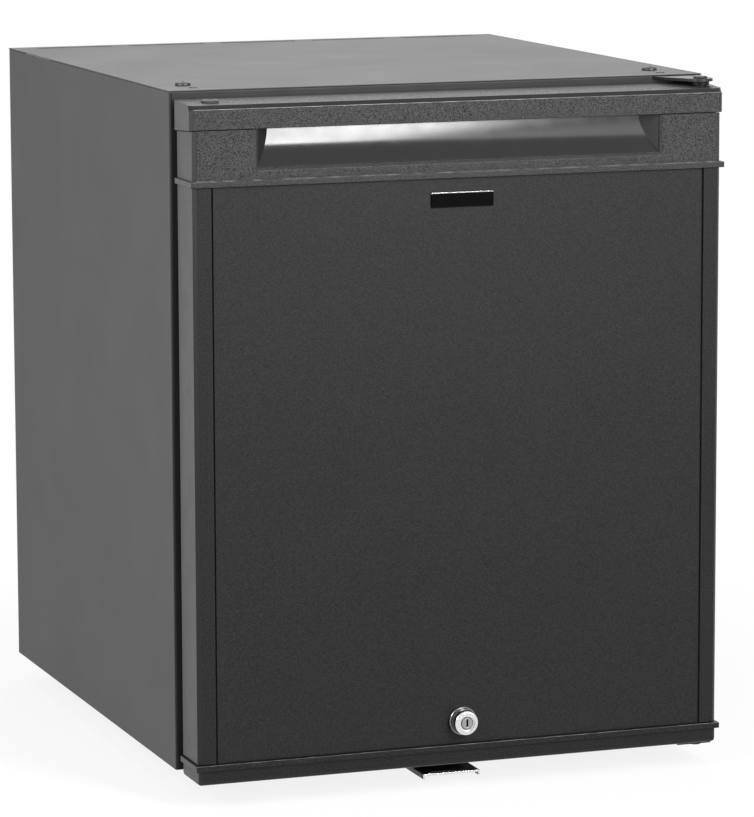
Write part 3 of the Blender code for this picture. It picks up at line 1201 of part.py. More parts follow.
def make_lock():
    """A cam lock: the barrel, its nut, and the plug and cam that turn in it."""
    ring_front = PANEL_FRONT - SEAT_GAP - LOCK_RING_HEIGHT
    bore = LOCK_PLUG_RADIUS + PIN_CLEARANCE
    profile = [
        (bore, BARREL_BACK - LOCK_FRONT),
        (LOCK_BARREL_RADIUS, BARREL_BACK - LOCK_FRONT),
        (LOCK_BARREL_RADIUS, PANEL_FRONT - SEAT_GAP - LOCK_FRONT),
        (LOCK_RING_RADIUS, PANEL_FRONT - SEAT_GAP - LOCK_FRONT),
        (LOCK_RING_RADIUS, ring_front + LOCK_RING_HEIGHT / 2 - LOCK_FRONT),
        (LOCK_FACE_RADIUS, ring_front - LOCK_FRONT),
        (LOCK_FACE_RADIUS, LOCK_RING_HEIGHT / 2),
        (LOCK_FACE_RADIUS - LOCK_RING_HEIGHT / 3, 0),
        (bore, 0),
    ]
    place = (0, LOCK_FRONT, LOCK_Z)
    turned("lock_barrel", profile, place, "Y", CHROME, DOOR, ring=True)

    nut_start = (0, POCKET_FRONT + SEAT_GAP, LOCK_Z)
    nut = add_rod("lock_nut", NUT_RADIUS, nut_start, NUT_HEIGHT, "Y", BARE_STEEL, DOOR, 6)
    drill(nut, LOCK_BARREL_RADIUS + HOLE_GAP, (0, POCKET_FRONT - PAST, LOCK_Z), 4 * PAST, "Y", DOOR)

    plug_start = (0, LOCK_FRONT + SEAT_GAP, LOCK_Z)
    plug_length = BARREL_BACK + LOCK_TAIL - plug_start[1]
    plug = add_rod("lock_plug", LOCK_PLUG_RADIUS, plug_start, plug_length, "Y", CHROME, LOCK)
    keyway_low = (-KEYWAY_WIDTH / 2, LOCK_FRONT - PAST, LOCK_Z - KEYWAY_HEIGHT / 2)
    keyway_high = (KEYWAY_WIDTH / 2, LOCK_FRONT + KEYWAY_DEPTH, LOCK_Z + KEYWAY_HEIGHT / 2)
    cut_box(plug, keyway_low, keyway_high, LOCK)

    half = CAM_WIDTH / 2
    hub = [(x, LOCK_Z + z) for x, z in arc((0, 0), half, 90, -90, 6)]
    blade = hub + [(-CAM_LENGTH, LOCK_Z - half), (-CAM_LENGTH, LOCK_Z + half)]
    place = (0, (CAM_FRONT + CAM_BACK) / 2, 0)
    add_outline("lock_cam", [blade], CAM_SHEET, "XZ", place, BARE_STEEL, LOCK)


def make_keeper():
    """The bracket under the door that the lowered cam drops into, fixed below the cabinet."""
    half = KEEPER_WIDTH / 2
    top, bottom = -KEEPER_DROP, -KEEPER_DROP - KEEPER_FLANGE
    section = [
        (-half, bottom),
        (-half, top),
        (half, top),
        (half, bottom),
        (half - KEEPER_SHEET, bottom),
        (half - KEEPER_SHEET, top - KEEPER_SHEET),
        (KEEPER_SHEET - half, top - KEEPER_SHEET),
        (KEEPER_SHEET - half, bottom),
    ]
    length = KEEPER_REACH + KEEPER_FOOT_INSET
    place = (0, (KEEPER_FOOT_INSET - KEEPER_REACH) / 2, 0)
    keeper = add_outline("lock_keeper", [section], length, "XZ", place, BLACK_PAINT)
    riser_front = KEEPER_FOOT_INSET - KEEPER_SHEET
    join_box(keeper, (-half, riser_front, top - KEEPER_SHEET), (half, KEEPER_FOOT_INSET, -SEAT_GAP))
    foot_high = (half, KEEPER_FOOT_INSET + KEEPER_FOOT_LENGTH, -SEAT_GAP)
    join_box(keeper, (-half, riser_front, -SEAT_GAP - KEEPER_SHEET), foot_high)
    reach = math.sqrt(CAM_SWEEP**2 - (LOCK_Z + KEEPER_DROP) ** 2)
    slot_low = (-reach - CAM_ROOM / 2, CAM_FRONT - CAM_ROOM / 3, bottom - PAST)
    cut_box(keeper, slot_low, (CAM_WIDTH / 2 + CAM_ROOM / 2, CAM_BACK + CAM_ROOM / 3, top + PAST))


def bush_profile(flange_height, depth):
    """A flanged bush with its bore, its flange on top."""
    bore = PIN_RADIUS + PIN_CLEARANCE
    return [
        (bore, flange_height),
        (BUSH_FLANGE_RADIUS, flange_height),
        (BUSH_FLANGE_RADIUS, 0),
        (BUSH_RADIUS, 0),
        (BUSH_RADIUS, -depth),
        (bore, -depth),
    ]


def make_top_hinge():
    points = [
        (LEAF_LEFT, HINGE_LEAF_DEPTH),
        (LEAF_LEFT, 0),
        *arc((HINGE_X, HINGE_Y), HINGE_NOSE_RADIUS, 215, 360, 6),
        (LEAF_RIGHT, 0),
        (LEAF_RIGHT, HINGE_LEAF_DEPTH),
    ]
    place = (0, 0, TOP_HINGE_Z + HINGE_SHEET / 2)
    leaf = add_outline("top_hinge_plate", [points], HINGE_SHEET, "XY", place, BLACK_PAINT)
    bore = PIN_RADIUS + PIN_CLEARANCE
    drill(leaf, bore, (HINGE_X, HINGE_Y, TOP_HINGE_Z - PAST), 3 * PAST, "Z", sides=SMALL_SIDES)
    screw_start = (SCREW_X, SCREW_FRONT_INSET, TOP_HINGE_Z - PAST)
    drill(leaf, SCREW_SHANK_RADIUS + HOLE_GAP, screw_start, 3 * PAST, "Z", sides=SMALL_SIDES)

    head = SEAT_GAP + PIN_HEAD_HEIGHT
    profile = [
        (0, head),
        (PIN_HEAD_RADIUS - PIN_HEAD_HEIGHT / 2, head),
        (PIN_HEAD_RADIUS, head - PIN_HEAD_HEIGHT / 2),
        (PIN_HEAD_RADIUS, SEAT_GAP),
        (PIN_RADIUS, SEAT_GAP),
        (PIN_RADIUS, -HINGE_SHEET - PIN_DEPTH),
        (0, -HINGE_SHEET - PIN_DEPTH),
    ]
    pin_place = (HINGE_X, HINGE_Y, TOP_HINGE_Z + HINGE_SHEET)
    turned("top_hinge_pin", profile, pin_place, "Z", BARE_STEEL, sides=TURNED_SIDES)

    flange = TOP_HINGE_Z - SEAT_GAP - BUSH_SEAT
    bush_place = (HINGE_X, HINGE_Y, BUSH_SEAT)
    bush = bush_profile(flange, BUSH_DEPTH)
    turned("top_hinge_bush", bush, bush_place, "Z", GREY_STEEL, DOOR, TURNED_SIDES, True)
    plug = [
        (0, SPARE_PLUG_HEIGHT),
        (BUSH_RADIUS, SPARE_PLUG_HEIGHT),
        (BUSH_FLANGE_RADIUS, 0),
        (BUSH_RADIUS, 0),
        (BUSH_RADIUS, -BUSH_DEPTH / 2),
        (0, -BUSH_DEPTH / 2),
    ]
    plug_place = (SPARE_HOLE_INSET - HALF_WIDTH, HINGE_Y, BUSH_SEAT)
    turned("spare_hinge_plug", plug, plug_place, "Z", DOOR_PLASTIC, DOOR, TURNED_SIDES)


def make_bottom_hinge():
    """A joggled plate under the cabinet that reaches below the door and holds the lower pin."""
    joggle = HINGE_SHEET
    top, low_top = -SEAT_GAP, BOTTOM_HINGE_Z
    nose = HINGE_Y - BOTTOM_NOSE_REACH
    points = [
        (BOTTOM_LEAF_DEPTH, top),
        (BOTTOM_LEAF_DEPTH, top - HINGE_SHEET),
        (joggle, top - HINGE_SHEET),
        (-joggle, low_top - HINGE_SHEET),
        (nose, low_top - HINGE_SHEET),
        (nose, low_top),
        (-joggle, low_top),
        (joggle, top),
    ]
    middle = LEAF_RIGHT - BOTTOM_LEAF_WIDTH / 2
    leaf = add_outline("bottom_hinge_plate", [points], BOTTOM_LEAF_WIDTH, "YZ", (middle, 0, 0), BLACK_PAINT)
    bore = PIN_RADIUS + PIN_CLEARANCE
    drill(leaf, bore, (HINGE_X, HINGE_Y, low_top - 2 * PAST), 3 * PAST, "Z", sides=SMALL_SIDES)

    head_top = low_top - HINGE_SHEET - SEAT_GAP
    head_bottom = head_top - LOWER_HEAD_HEIGHT
    pin_top = DOOR_BOTTOM + PIN_DEPTH
    profile = [
        (0, pin_top),
        (PIN_RADIUS, pin_top),
        (PIN_RADIUS, head_top),
        (LOWER_HEAD_RADIUS, head_top),
        (LOWER_HEAD_RADIUS, head_bottom),
        (0, head_bottom),
    ]
    turned("bottom_hinge_pin", profile, (HINGE_X, HINGE_Y, 0), "Z", BARE_STEEL, sides=TURNED_SIDES)

    flange = BOTTOM_HINGE_GAP - 2 * SEAT_GAP
    bush = [(r, -h) for r, h in reversed(bush_profile(flange, BUSH_DEPTH))]
    bush_place = (HINGE_X, HINGE_Y, DOOR_BOTTOM - SEAT_GAP)
    turned("bottom_hinge_bush", bush, bush_place, "Z", GREY_STEEL, DOOR, TURNED_SIDES, True)


make_side_panel("left_side_panel", -1)
make_side_panel("right_side_panel", 1)
make_top_panel()
make_base_panel()
make_back_panel()
make_insulation()
make_liner()
make_feet()
make_top_screws()
make_shelves()
make_thermostat()
make_door_switch()
make_evaporator()
make_cooling_unit()
make_control_box()
make_door_core()
make_front_panel()
make_badge()
make_door_trim("door_trim_left", -1)
make_door_trim("door_trim_right", 1)
make_bottom_cap()
make_handle_trim()
make_handle_scoop()
make_top_cap()
make_inner_panel()
make_racks()
make_gasket()
make_lock()
make_keeper()
make_top_hinge()
make_bottom_hinge()
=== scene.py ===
"""The minibar dressed for the eye: rounded edges, seals, screws, tubes and finishes on the solid model."""
import json
import math

import bmesh
import bpy
from mathutils import Euler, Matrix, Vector

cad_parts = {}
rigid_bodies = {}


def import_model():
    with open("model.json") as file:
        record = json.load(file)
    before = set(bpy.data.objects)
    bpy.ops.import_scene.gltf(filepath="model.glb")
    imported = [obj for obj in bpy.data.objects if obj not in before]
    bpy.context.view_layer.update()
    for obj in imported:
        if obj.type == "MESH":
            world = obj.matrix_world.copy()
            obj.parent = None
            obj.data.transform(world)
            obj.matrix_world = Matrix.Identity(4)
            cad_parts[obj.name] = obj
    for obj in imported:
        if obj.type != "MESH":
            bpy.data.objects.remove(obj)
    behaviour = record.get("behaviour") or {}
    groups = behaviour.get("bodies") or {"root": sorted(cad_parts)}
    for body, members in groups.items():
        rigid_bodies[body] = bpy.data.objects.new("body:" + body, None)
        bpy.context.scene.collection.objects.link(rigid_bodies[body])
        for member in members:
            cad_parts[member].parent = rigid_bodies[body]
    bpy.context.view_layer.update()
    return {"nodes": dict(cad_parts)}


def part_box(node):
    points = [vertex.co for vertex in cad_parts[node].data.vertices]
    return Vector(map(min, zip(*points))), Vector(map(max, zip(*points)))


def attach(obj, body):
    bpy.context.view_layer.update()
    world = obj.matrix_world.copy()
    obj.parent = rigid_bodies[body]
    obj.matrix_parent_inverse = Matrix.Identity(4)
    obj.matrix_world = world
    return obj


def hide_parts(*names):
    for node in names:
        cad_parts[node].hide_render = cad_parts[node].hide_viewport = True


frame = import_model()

for startup in ("Cube", "Light", "Camera"):
    if startup in bpy.data.objects:
        bpy.data.objects.remove(bpy.data.objects[startup])

# The cabinet's front face and its base, from which places are counted as in the solid model
FRONT_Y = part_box("left_side_panel")[0].y
BASE_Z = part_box("left_side_panel")[0].z


def at(x, y, z):
    """A place in the cabinet's own frame, in metres, as a place in the row frame."""
    return Vector((x, FRONT_Y + y, BASE_Z + z))


# Camera, light and floor
CAMERA_PLACE = (-1.09132, -3.09466, 0.75894)
CAMERA_YAW = math.radians(19.718)
CAMERA_PITCH = math.radians(8.984)
CAMERA_ROLL = math.radians(0.177)
CAMERA_LENS = 194.84
FILM_WIDTH = 36
FLOOR_SIZE = 14
FLOOR_SHADE = 0.93
FLOOR_NEAR = 0.35
FLOOR_FAR = 0.70
FLOOR_LIFT = 0.86
WORLD_GLOW = (0.92, 0.96, 1, 1)
WORLD_STRENGTH = 0.35
# Each lamp: its place, what it faces, its width and height, and its power
LAMPS = {
    "strip_box": ((0.42, -1.62, 1.05), (0.05, -0.2, 0.47), 0.29, 1.20, 30),
    "side_strip": ((0.98, -1.45, 1.05), (0.05, -0.2, 0.47), 0.55, 1.50, 6),
    "top_box": ((-0.2, 0.9, 2.2), (0, 0.2, 0.4), 2.0, 1.6, 13),
    "left_box": ((-0.85, -0.50, 0.62), (-0.2, -0.05, 0.42), 0.35, 0.35, 5),
    "rear_box": ((0.9, 2.2, 1.6), (0, 0, 0.25), 1.4, 1.4, 9),
}


def linked(name, data):
    """A new object in the scene, with this data."""
    made = bpy.data.objects.new(name, data)
    bpy.context.scene.collection.objects.link(made)
    return made


def added(name, primitive, **values):
    """A new object by this operator, with nothing else selected."""
    bpy.ops.object.select_all(action="DESELECT")
    primitive(**values)
    bpy.context.object.name = name
    return bpy.context.object


def make_camera():
    data = bpy.data.cameras.new("camera")
    data.lens = CAMERA_LENS
    data.sensor_width = FILM_WIDTH
    camera = linked("camera", data)
    camera.location = CAMERA_PLACE
    turn = Euler((math.pi / 2 - CAMERA_PITCH, 0, -CAMERA_YAW)).to_matrix()
    roll = Euler((0, 0, -CAMERA_ROLL)).to_matrix()
    camera.rotation_euler = (turn @ roll).to_euler()
    bpy.context.scene.camera = camera


def softbox(name, place, target, width, height, power):
    """A rectangular lamp that faces its target."""
    data = bpy.data.lights.new(name, "AREA")
    data.shape = "RECTANGLE"
    data.size, data.size_y = width, height
    data.energy = power
    lamp = linked(name, data)
    lamp.location = place
    lamp.rotation_euler = (Vector(target) - Vector(place)).to_track_quat("-Z", "Y").to_euler()


def new_node(tree, kind, operation=None):
    made = tree.nodes.new("ShaderNode" + kind)
    if operation:
        made.operation = operation
    return made


def seen_by(tree, *rays):
    """1 for these kinds of ray, and 0 for all others."""
    path = new_node(tree, "LightPath")
    result = path.outputs[rays[0]]
    for ray in rays[1:]:
        either = new_node(tree, "Math", "MAXIMUM")
        tree.links.new(result, either.inputs[0])
        tree.links.new(path.outputs[ray], either.inputs[1])
        result = either.outputs[0]
    return result


def blended(tree, share, first, second, surface):
    """Shows the second shader by its share, over the first."""
    mix = new_node(tree, "MixShader")
    for i, output in enumerate((share, first.outputs[0], second.outputs[0])):
        tree.links.new(output, mix.inputs[i])
    tree.links.new(mix.outputs[0], surface)


def make_stage():
    """A pale floor, and a white world that lights more softly than it shows."""
    world = bpy.data.worlds.new("studio")
    bpy.context.scene.world = world
    world.use_nodes = True
    tree = world.node_tree
    tree.nodes.clear()
    glow, white = new_node(tree, "Background"), new_node(tree, "Background")
    glow.inputs["Color"].default_value = WORLD_GLOW
    glow.inputs["Strength"].default_value = WORLD_STRENGTH
    white.inputs["Color"].default_value = (1, 1, 1, 1)
    share = seen_by(tree, "Is Camera Ray", "Is Glossy Ray", "Is Transmission Ray")
    blended(tree, share, glow, white, new_node(tree, "OutputWorld").inputs["Surface"])
    floor = added("floor", bpy.ops.mesh.primitive_plane_add, size=FLOOR_SIZE, location=(0, 0, 0))
    floor.data.materials.append(make_floor_finish())


def spread_over(tree, value, *ends):
    """Spreads the value's stretch from low to high over another stretch."""
    spread = new_node(tree, "MapRange")
    for name, number in zip(("From Min", "From Max", "To Min", "To Max"), ends):
        spread.inputs[name].default_value = number
    tree.links.new(value, spread.inputs["Value"])
    return spread


def make_floor_finish():
    """Pale and matt, with the object's shadow near it, and plain white further out."""
    pale = bpy.data.materials.new("pale_floor")
    pale.use_nodes = True
    tree = pale.node_tree
    shader = tree.nodes["Principled BSDF"]
    shader.inputs["Base Color"].default_value = (FLOOR_SHADE, FLOOR_SHADE, FLOOR_SHADE, 1)
    shader.inputs["Roughness"].default_value = 0.9
    shader.inputs["Specular IOR Level"].default_value = 0
    away = new_node(tree, "VectorMath", "LENGTH")
    tree.links.new(new_node(tree, "TexCoord").outputs["Object"], away.inputs[0])
    fade = spread_over(tree, away.outputs["Value"], FLOOR_NEAR, FLOOR_FAR, FLOOR_LIFT, 1)
    fade.interpolation_type = "SMOOTHSTEP"
    share = new_node(tree, "Math", "MULTIPLY")
    tree.links.new(fade.outputs["Result"], share.inputs[0])
    tree.links.new(seen_by(tree, "Is Camera Ray", "Is Glossy Ray"), share.inputs[1])
    surface = tree.nodes["Material Output"].inputs["Surface"]
    blended(tree, share.outputs[0], shader, new_node(tree, "Emission"), surface)
    return pale


make_camera()
make_stage()
for name, lamp in LAMPS.items():
    softbox(name, *lamp)
bpy.context.scene.view_settings.view_transform = "Standard"


# Finishes
def new_finish(name, colour, roughness, metallic=0.0, **sockets):
    """A material with a Principled shader; a further socket is named with _ for its spaces."""
    made = bpy.data.materials.new(name)
    made.use_nodes = True
    shader = made.node_tree.nodes["Principled BSDF"]
    shader.inputs["Base Color"].default_value = (*colour, 1)
    shader.inputs["Roughness"].default_value = roughness
    shader.inputs["Metallic"].default_value = metallic
    for socket, value in sockets.items():
        shader.inputs[socket.replace("_", " ")].default_value = value
    made.diffuse_color = (*colour, 1)
    return made


def socket_of(made, name):
    return made.node_tree.nodes["Principled BSDF"].inputs[name]


def grain(made, size, detail=2.0, roughness=0.5, stretch=(1, 1, 1)):
    """Noise on the piece's own place; size is its largest feature in metres, and stretch lengthens it."""
    tree = made.node_tree
    place = new_node(tree, "TexCoord")
    mapping = new_node(tree, "Mapping")
    mapping.inputs["Scale"].default_value = [1 / s for s in stretch]
    noise = new_node(tree, "TexNoise")
    noise.inputs["Scale"].default_value = 1 / size
    noise.inputs["Detail"].default_value = detail
    noise.inputs["Roughness"].default_value = roughness
    tree.links.new(place.outputs["Object"], mapping.inputs["Vector"])
    tree.links.new(mapping.outputs["Vector"], noise.inputs["Vector"])
    return noise.outputs["Fac"]


def band(made, value, low, high, to_low, to_high):
    return spread_over(made.node_tree, value, low, high, to_low, to_high).outputs["Result"]


def colour_by(made, value, dark, light):
    """Lets the value run the base colour from dark to light."""
    mix = new_node(made.node_tree, "Mix")
    mix.data_type = "RGBA"
    mix.inputs[6].default_value = (*dark, 1)
    mix.inputs[7].default_value = (*light, 1)
    made.node_tree.links.new(value, mix.inputs[0])
    made.node_tree.links.new(mix.outputs[2], socket_of(made, "Base Color"))


def roughness_by(made, value, low, high):
    made.node_tree.links.new(band(made, value, 0.3, 0.7, low, high), socket_of(made, "Roughness"))


def raise_by(made, value, depth, strength=1.0):
    """Bumps the surface by the value, over any bump that it has already."""
    bump = new_node(made.node_tree, "Bump")
    bump.inputs["Distance"].default_value = depth
    bump.inputs["Strength"].default_value = strength
    normal = socket_of(made, "Normal")
    if normal.is_linked:
        made.node_tree.links.new(normal.links[0].from_socket, bump.inputs["Normal"])
    made.node_tree.links.new(value, bump.inputs["Height"])
    made.node_tree.links.new(bump.outputs["Normal"], normal)


def grey(level, warm=0.0):
    return (level * (1 + warm), level, level * (1 - warm))


# Each coat: its slot, shade, roughness and specular level, then three noises by size and detail, and some
# by roughness and stretch too.
# The first runs the shade over a range between two shades, the second runs the roughness between two values,
# and the third bumps the surface by a depth and a strength.
COATS = {
    # powder paint on sheet steel: fine orange peel and a little unevenness in its gloss
    "casing_paint": ("black_paint", 0.044, 0.55, 0.40, ((0.0011, 1), (0.35, 0.65), (0.033, 0.045)),
                     ((0.060, 3), (0.53, 0.57)), ((0.0010, 1), (0.00003, 0.5))),
    # coarse grain on the door's upper mouldings
    "speckled_plastic": ("grained_plastic", 0.022, 0.46, 0.15, ((0.00047, 1), (0.38, 0.62), (0.003, 0.056)),
                         ((0.0016, 1), (0.38, 0.54)), ((0.00045, 1), (0.00004, 0.9))),
    # the smoother moulded black of the edge profiles and the bottom tray
    "trim_plastic": ("door_plastic", 0.010, 0.46, 0.14, ((0.0009, 1), (0.35, 0.65), (0.004, 0.020)),
                     ((0.020, 2), (0.40, 0.48)), ((0.0008, 1), (0.00003, 0.4))),
    # dark laminate with fine specks that run a little sideways
    "panel_laminate": ("panel_laminate", 0.012, 0.42, 0.15,
                       ((0.00055, 1, 0.5, (2, 1, 1)), (0.34, 0.66), (0.007, 0.020)),
                       ((0.060, 2), (0.38, 0.44)), ((0.0007, 1, 0.5, (2.5, 1, 1)), (0.00003, 0.5))),
    # the ungrained black of chamfers and slanted ends, darker than the grained band partly as painted shade;
    # also painted shade on the casing's front flanges and in holes, keyways and recesses
    "smooth_black": ("door_plastic", 0.012, 0.42, 0.22, None,
                     ((0.015, 2), (0.38, 0.46)), ((0.0010, 1), (0.00001, 0.3))),
    "gloss_black": ("gloss_black", 0.004, 0.16, 0.50, None,
                    ((0.012, 2), (0.14, 0.18)), ((0.050, 1), (0.0002, 0.05))),
    # the blank plate's own black, deeper than the panel's
    "plate_black": ("badge_black", 0.002, 0.30, 0.02, None,
                    ((0.010, 2), (0.26, 0.36)), ((0.0010, 1), (0.00001, 0.3))),
    "rubber": ("rubber", 0.008, 0.85, 0.05, ((0.010, 3), (0.3, 0.7), (0.006, 0.010)),
               None, ((0.0010, 1), (0.00004, 0.5))),
    # thick paint on the hinge leaves and the catch, a little worn
    "hinge_black": ("black_paint", 0.018, 0.42, 0.35, ((0.008, 3), (0.4, 0.7), (0.012, 0.026)),
                    ((0.006, 3), (0.36, 0.50)), ((0.0014, 1), (0.00003, 0.5))),
    # the sides of the door's mouldings, made paler as painted light
    "door_flank": ("door_plastic", 0.060, 0.55, 0.40, ((0.0010, 2), (0.35, 0.65), (0.052, 0.070)),
                   ((0.020, 2), (0.50, 0.58)), ((0.0009, 1), (0.00003, 0.4))),
    # the ledges' smoother edges: a lower roughness, and a paler, streaked colour as a painted highlight along
    # the ledges
    "rolled_edge": ("door_plastic", 0.10, 0.34, 0.60,
                    ((0.012, 2, 0.5, (1, 6, 6)), (0.40, 0.60), (0.03, 0.20)),
                    ((0.010, 2), (0.24, 0.40)), ((0.0012, 1), (0.00001, 0.3))),
}


def make_coat(name, shade, roughness, specular, specks, gloss, peel):
    made = new_finish(name, grey(shade), roughness, Specular_IOR_Level=specular)
    if specks:
        noise, spread, shades = specks
        colour_by(made, band(made, grain(made, *noise), *spread, 0, 1), *map(grey, shades))
    if gloss:
        noise, ends = gloss
        roughness_by(made, grain(made, *noise), *ends)
    noise, (depth, strength) = peel
    raise_by(made, grain(made, *noise), depth, strength)
    return made


def make_white_plastic(name, level, roughness, warm=0.0):
    """Formed white plastic with a faint orange peel."""
    made = new_finish(name, grey(level, warm), roughness)
    shade = band(made, grain(made, 0.05, 3.0), 0.3, 0.7, 0, 1)
    colour_by(made, shade, grey(level * 0.97, warm), grey(level, warm))
    roughness_by(made, grain(made, 0.010, 2.0), roughness - 0.04, roughness + 0.06)
    raise_by(made, grain(made, 0.0035, 1.0), 0.00006, 0.4)
    return made


def make_clear_plastic(name):
    made = new_finish(name, (0.86, 0.91, 0.94), 0.12, Transmission_Weight=0.80, IOR=1.49)
    roughness_by(made, grain(made, 0.02, 2.0), 0.09, 0.18)
    return made


def make_foam(name, dark, light):
    made = new_finish(name, dark, 0.92)
    colour_by(made, band(made, grain(made, 0.006, 4.0), 0.3, 0.7, 0, 1), dark, light)
    raise_by(made, grain(made, 0.003, 3.0), 0.0006, 0.7)
    return made


def make_metal(name, level, roughness, size=0.0009, stretch=(1, 1, 1), depth=0.00001):
    """Bare metal with fine working marks, drawn out where it is rolled or brushed."""
    made = new_finish(name, level, roughness, 1.0)
    marks = grain(made, size, 3.0, 0.6, stretch)
    colour_by(made, band(made, marks, 0.3, 0.7, 0, 1), tuple(c * 0.90 for c in level), level)
    roughness_by(made, marks, roughness * 0.8, roughness * 1.25)
    raise_by(made, marks, depth, 0.5)
    return made


def make_unit_paint(name):
    """The thin grey-black paint of the cooling unit's steel, a little dusty."""
    made = new_finish(name, grey(0.045), 0.50)
    dust = band(made, grain(made, 0.035, 4.0, 0.6), 0.42, 0.75, 0, 1)
    colour_by(made, dust, grey(0.040), grey(0.085, 0.05))
    roughness_by(made, grain(made, 0.02, 3.0), 0.40, 0.62)
    raise_by(made, grain(made, 0.0016, 2.0), 0.00005, 0.5)
    return made


# The other surfaces: what makes each, its slot, and its values
SURFACES = {
    "white_liner": (make_white_plastic, "white_liner", 0.60, 0.34),
    "white_knob": (make_white_plastic, "white_liner", 0.56, 0.40, 0.01),
    "lamp_plastic": (make_white_plastic, "lens", 0.86, 0.22, 0.02),
    "clear_plastic": (make_clear_plastic, "clear_rack"),
    "casing_foam": (make_foam, "foam", (0.42, 0.33, 0.17), (0.55, 0.45, 0.26)),
    "door_backing": (make_foam, "foam", grey(0.012), grey(0.018)),
    "mineral_wool": (make_foam, "foam", (0.30, 0.27, 0.20), (0.48, 0.44, 0.34)),
    "chrome": (make_metal, "chrome", grey(0.78), 0.14, 0.004),
    # the lock ring's chrome, made darker as a painted reflection of dark surroundings
    "lock_ring_metal": (make_metal, "chrome", grey(0.30), 0.24, 0.0030),
    "lock_core_metal": (make_metal, "chrome", grey(0.36), 0.30, 0.0008),
    "bare_steel": (make_metal, "bare_steel", grey(0.50, 0.01), 0.32, 0.0007, (6, 1, 1)),
    "dark_steel": (make_metal, "bare_steel", grey(0.075), 0.42, 0.0008),
    "aluminium": (make_metal, "aluminium", grey(0.66), 0.38, 0.0008, (1, 1, 12)),
    "unit_paint": (make_unit_paint, "grey_steel"),
    "galvanised": (make_metal, "grey_steel", grey(0.42), 0.42, 0.010, (1, 1, 1), 0.00002),
    "weld_bead": (make_metal, "grey_steel", (0.20, 0.19, 0.18), 0.45, 0.0012, (1, 1, 1), 0.00010),
}
FINISH = {name: (make_coat(name, *coat), slot) for name, (slot, *coat) in COATS.items()}
for name, (maker, slot, *values) in SURFACES.items():
    FINISH[name] = (maker(name, *values), slot)


# Making pieces
NEAR_POINTS = 1e-6
WAYS = {"X": Vector((1, 0, 0)), "Y": Vector((0, 1, 0)), "Z": Vector((0, 0, 1))}


def only(piece):
    bpy.ops.object.select_all(action="DESELECT")
    piece.select_set(True)
    bpy.context.view_layer.objects.active = piece


def settle(piece):
    """Puts the piece's place, turn and scale into its mesh."""
    only(piece)
    bpy.ops.object.transform_apply(location=True, rotation=True, scale=True)


def edit(piece, kind="EDGE"):
    """Opens the piece with nothing selected, and hands over its mesh."""
    only(piece)
    bpy.ops.object.mode_set(mode="EDIT")
    bpy.ops.mesh.select_mode(type=kind)
    bpy.ops.mesh.select_all(action="DESELECT")
    return bmesh.from_edit_mesh(piece.data)


def close(piece):
    bpy.ops.object.mode_set(mode="OBJECT")
    return piece


def choose(piece, kind, test):
    """Opens the piece, and selects the edges or faces whose middle and way or normal the test accepts."""
    mesh = edit(piece, "FACE" if kind == "faces" else "EDGE")
    for item in getattr(mesh, kind):
        middle = sum((v.co for v in item.verts), Vector()) / len(item.verts)
        if kind == "faces":
            item.select_set(bool(test(middle, item.normal)))
        elif test(middle, (item.verts[1].co - item.verts[0].co).normalized()):
            item.select_set(True)
    mesh.select_flush_mode()
    bmesh.update_edit_mesh(piece.data)
    return mesh


def block(name, low, high):
    low, high = Vector(low), Vector(high)
    piece = added(name, bpy.ops.mesh.primitive_cube_add, size=1, location=(low + high) / 2)
    piece.scale = high - low
    settle(piece)
    return piece


def rod(name, centre, radius, length, axis="Z", sides=32):
    """A round bar about its middle, along the axis."""
    turn = {"X": (0, math.pi / 2, 0), "Y": (math.pi / 2, 0, 0), "Z": (0, 0, 0)}[axis]
    piece = added(name, bpy.ops.mesh.primitive_cylinder_add, vertices=sides, radius=radius,
                  depth=length, location=centre, rotation=turn)
    settle(piece)
    return piece


def soften(piece, width, segments=2, test=None, angle=30):
    """Rounds the edges that the test accepts, or all that fold by more than the angle."""
    if test:
        mesh = choose(piece, "edges", test)
        for edge in mesh.edges:
            if edge.select and edge.calc_face_angle(0) < math.radians(angle):
                edge.select_set(False)
        bmesh.update_edit_mesh(piece.data)
    else:
        edit(piece)
        bpy.ops.mesh.edges_select_sharp(sharpness=math.radians(angle))
    bpy.ops.mesh.bevel(offset=width, offset_type="OFFSET", segments=segments, profile=0.5,
                       affect="EDGES", clamp_overlap=True)
    return close(piece)


def hollow(piece, test, inset, depth):
    """Insets the faces that the test accepts, and pushes what is inside inwards."""
    choose(piece, "faces", test)
    bpy.ops.mesh.inset(thickness=inset, depth=-depth)
    return close(piece)


def apply_all(piece):
    only(piece)
    for step in list(piece.modifiers):
        bpy.ops.object.modifier_apply(modifier=step.name)
    return piece


def carve(piece, *tools, how="DIFFERENCE"):
    """Cuts the tools out of the piece, or joins or keeps what they share, and removes them."""
    for tool in tools:
        step = piece.modifiers.new("carve", "BOOLEAN")
        step.operation, step.solver, step.object = how, "EXACT", tool
        apply_all(piece)
        bpy.data.objects.remove(tool)
    return piece


def join(name, *pieces):
    bpy.ops.object.select_all(action="DESELECT")
    for piece in pieces:
        piece.select_set(True)
    bpy.context.view_layer.objects.active = pieces[0]
    bpy.ops.object.join()
    pieces[0].name = name
    return pieces[0]


def copy_of(piece, name, move=(0, 0, 0)):
    twin = linked(name, piece.data.copy())
    twin.location = move
    settle(twin)
    return twin


def body_of(node):
    """The body that a solid of the fixed model rides on."""
    return frame["nodes"][node].parent.name.split(":")[1]


def middle_of(node):
    low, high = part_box(node)
    return (low + high) / 2


def dress(piece, finish, body, *nodes, smooth=30):
    """Gives a piece its finish and body, and hides the solids it stands for."""
    material, slot = FINISH[finish]
    piece.data.materials.clear()
    piece.data.materials.append(material)
    only(piece)
    bpy.ops.object.shade_smooth_by_angle(angle=math.radians(smooth))
    even = piece.modifiers.new("flat_faces_stay_flat", "WEIGHTED_NORMAL")
    even.keep_sharp = True
    apply_all(piece)
    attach(piece, body)
    if nodes:
        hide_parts(*nodes)
    return piece


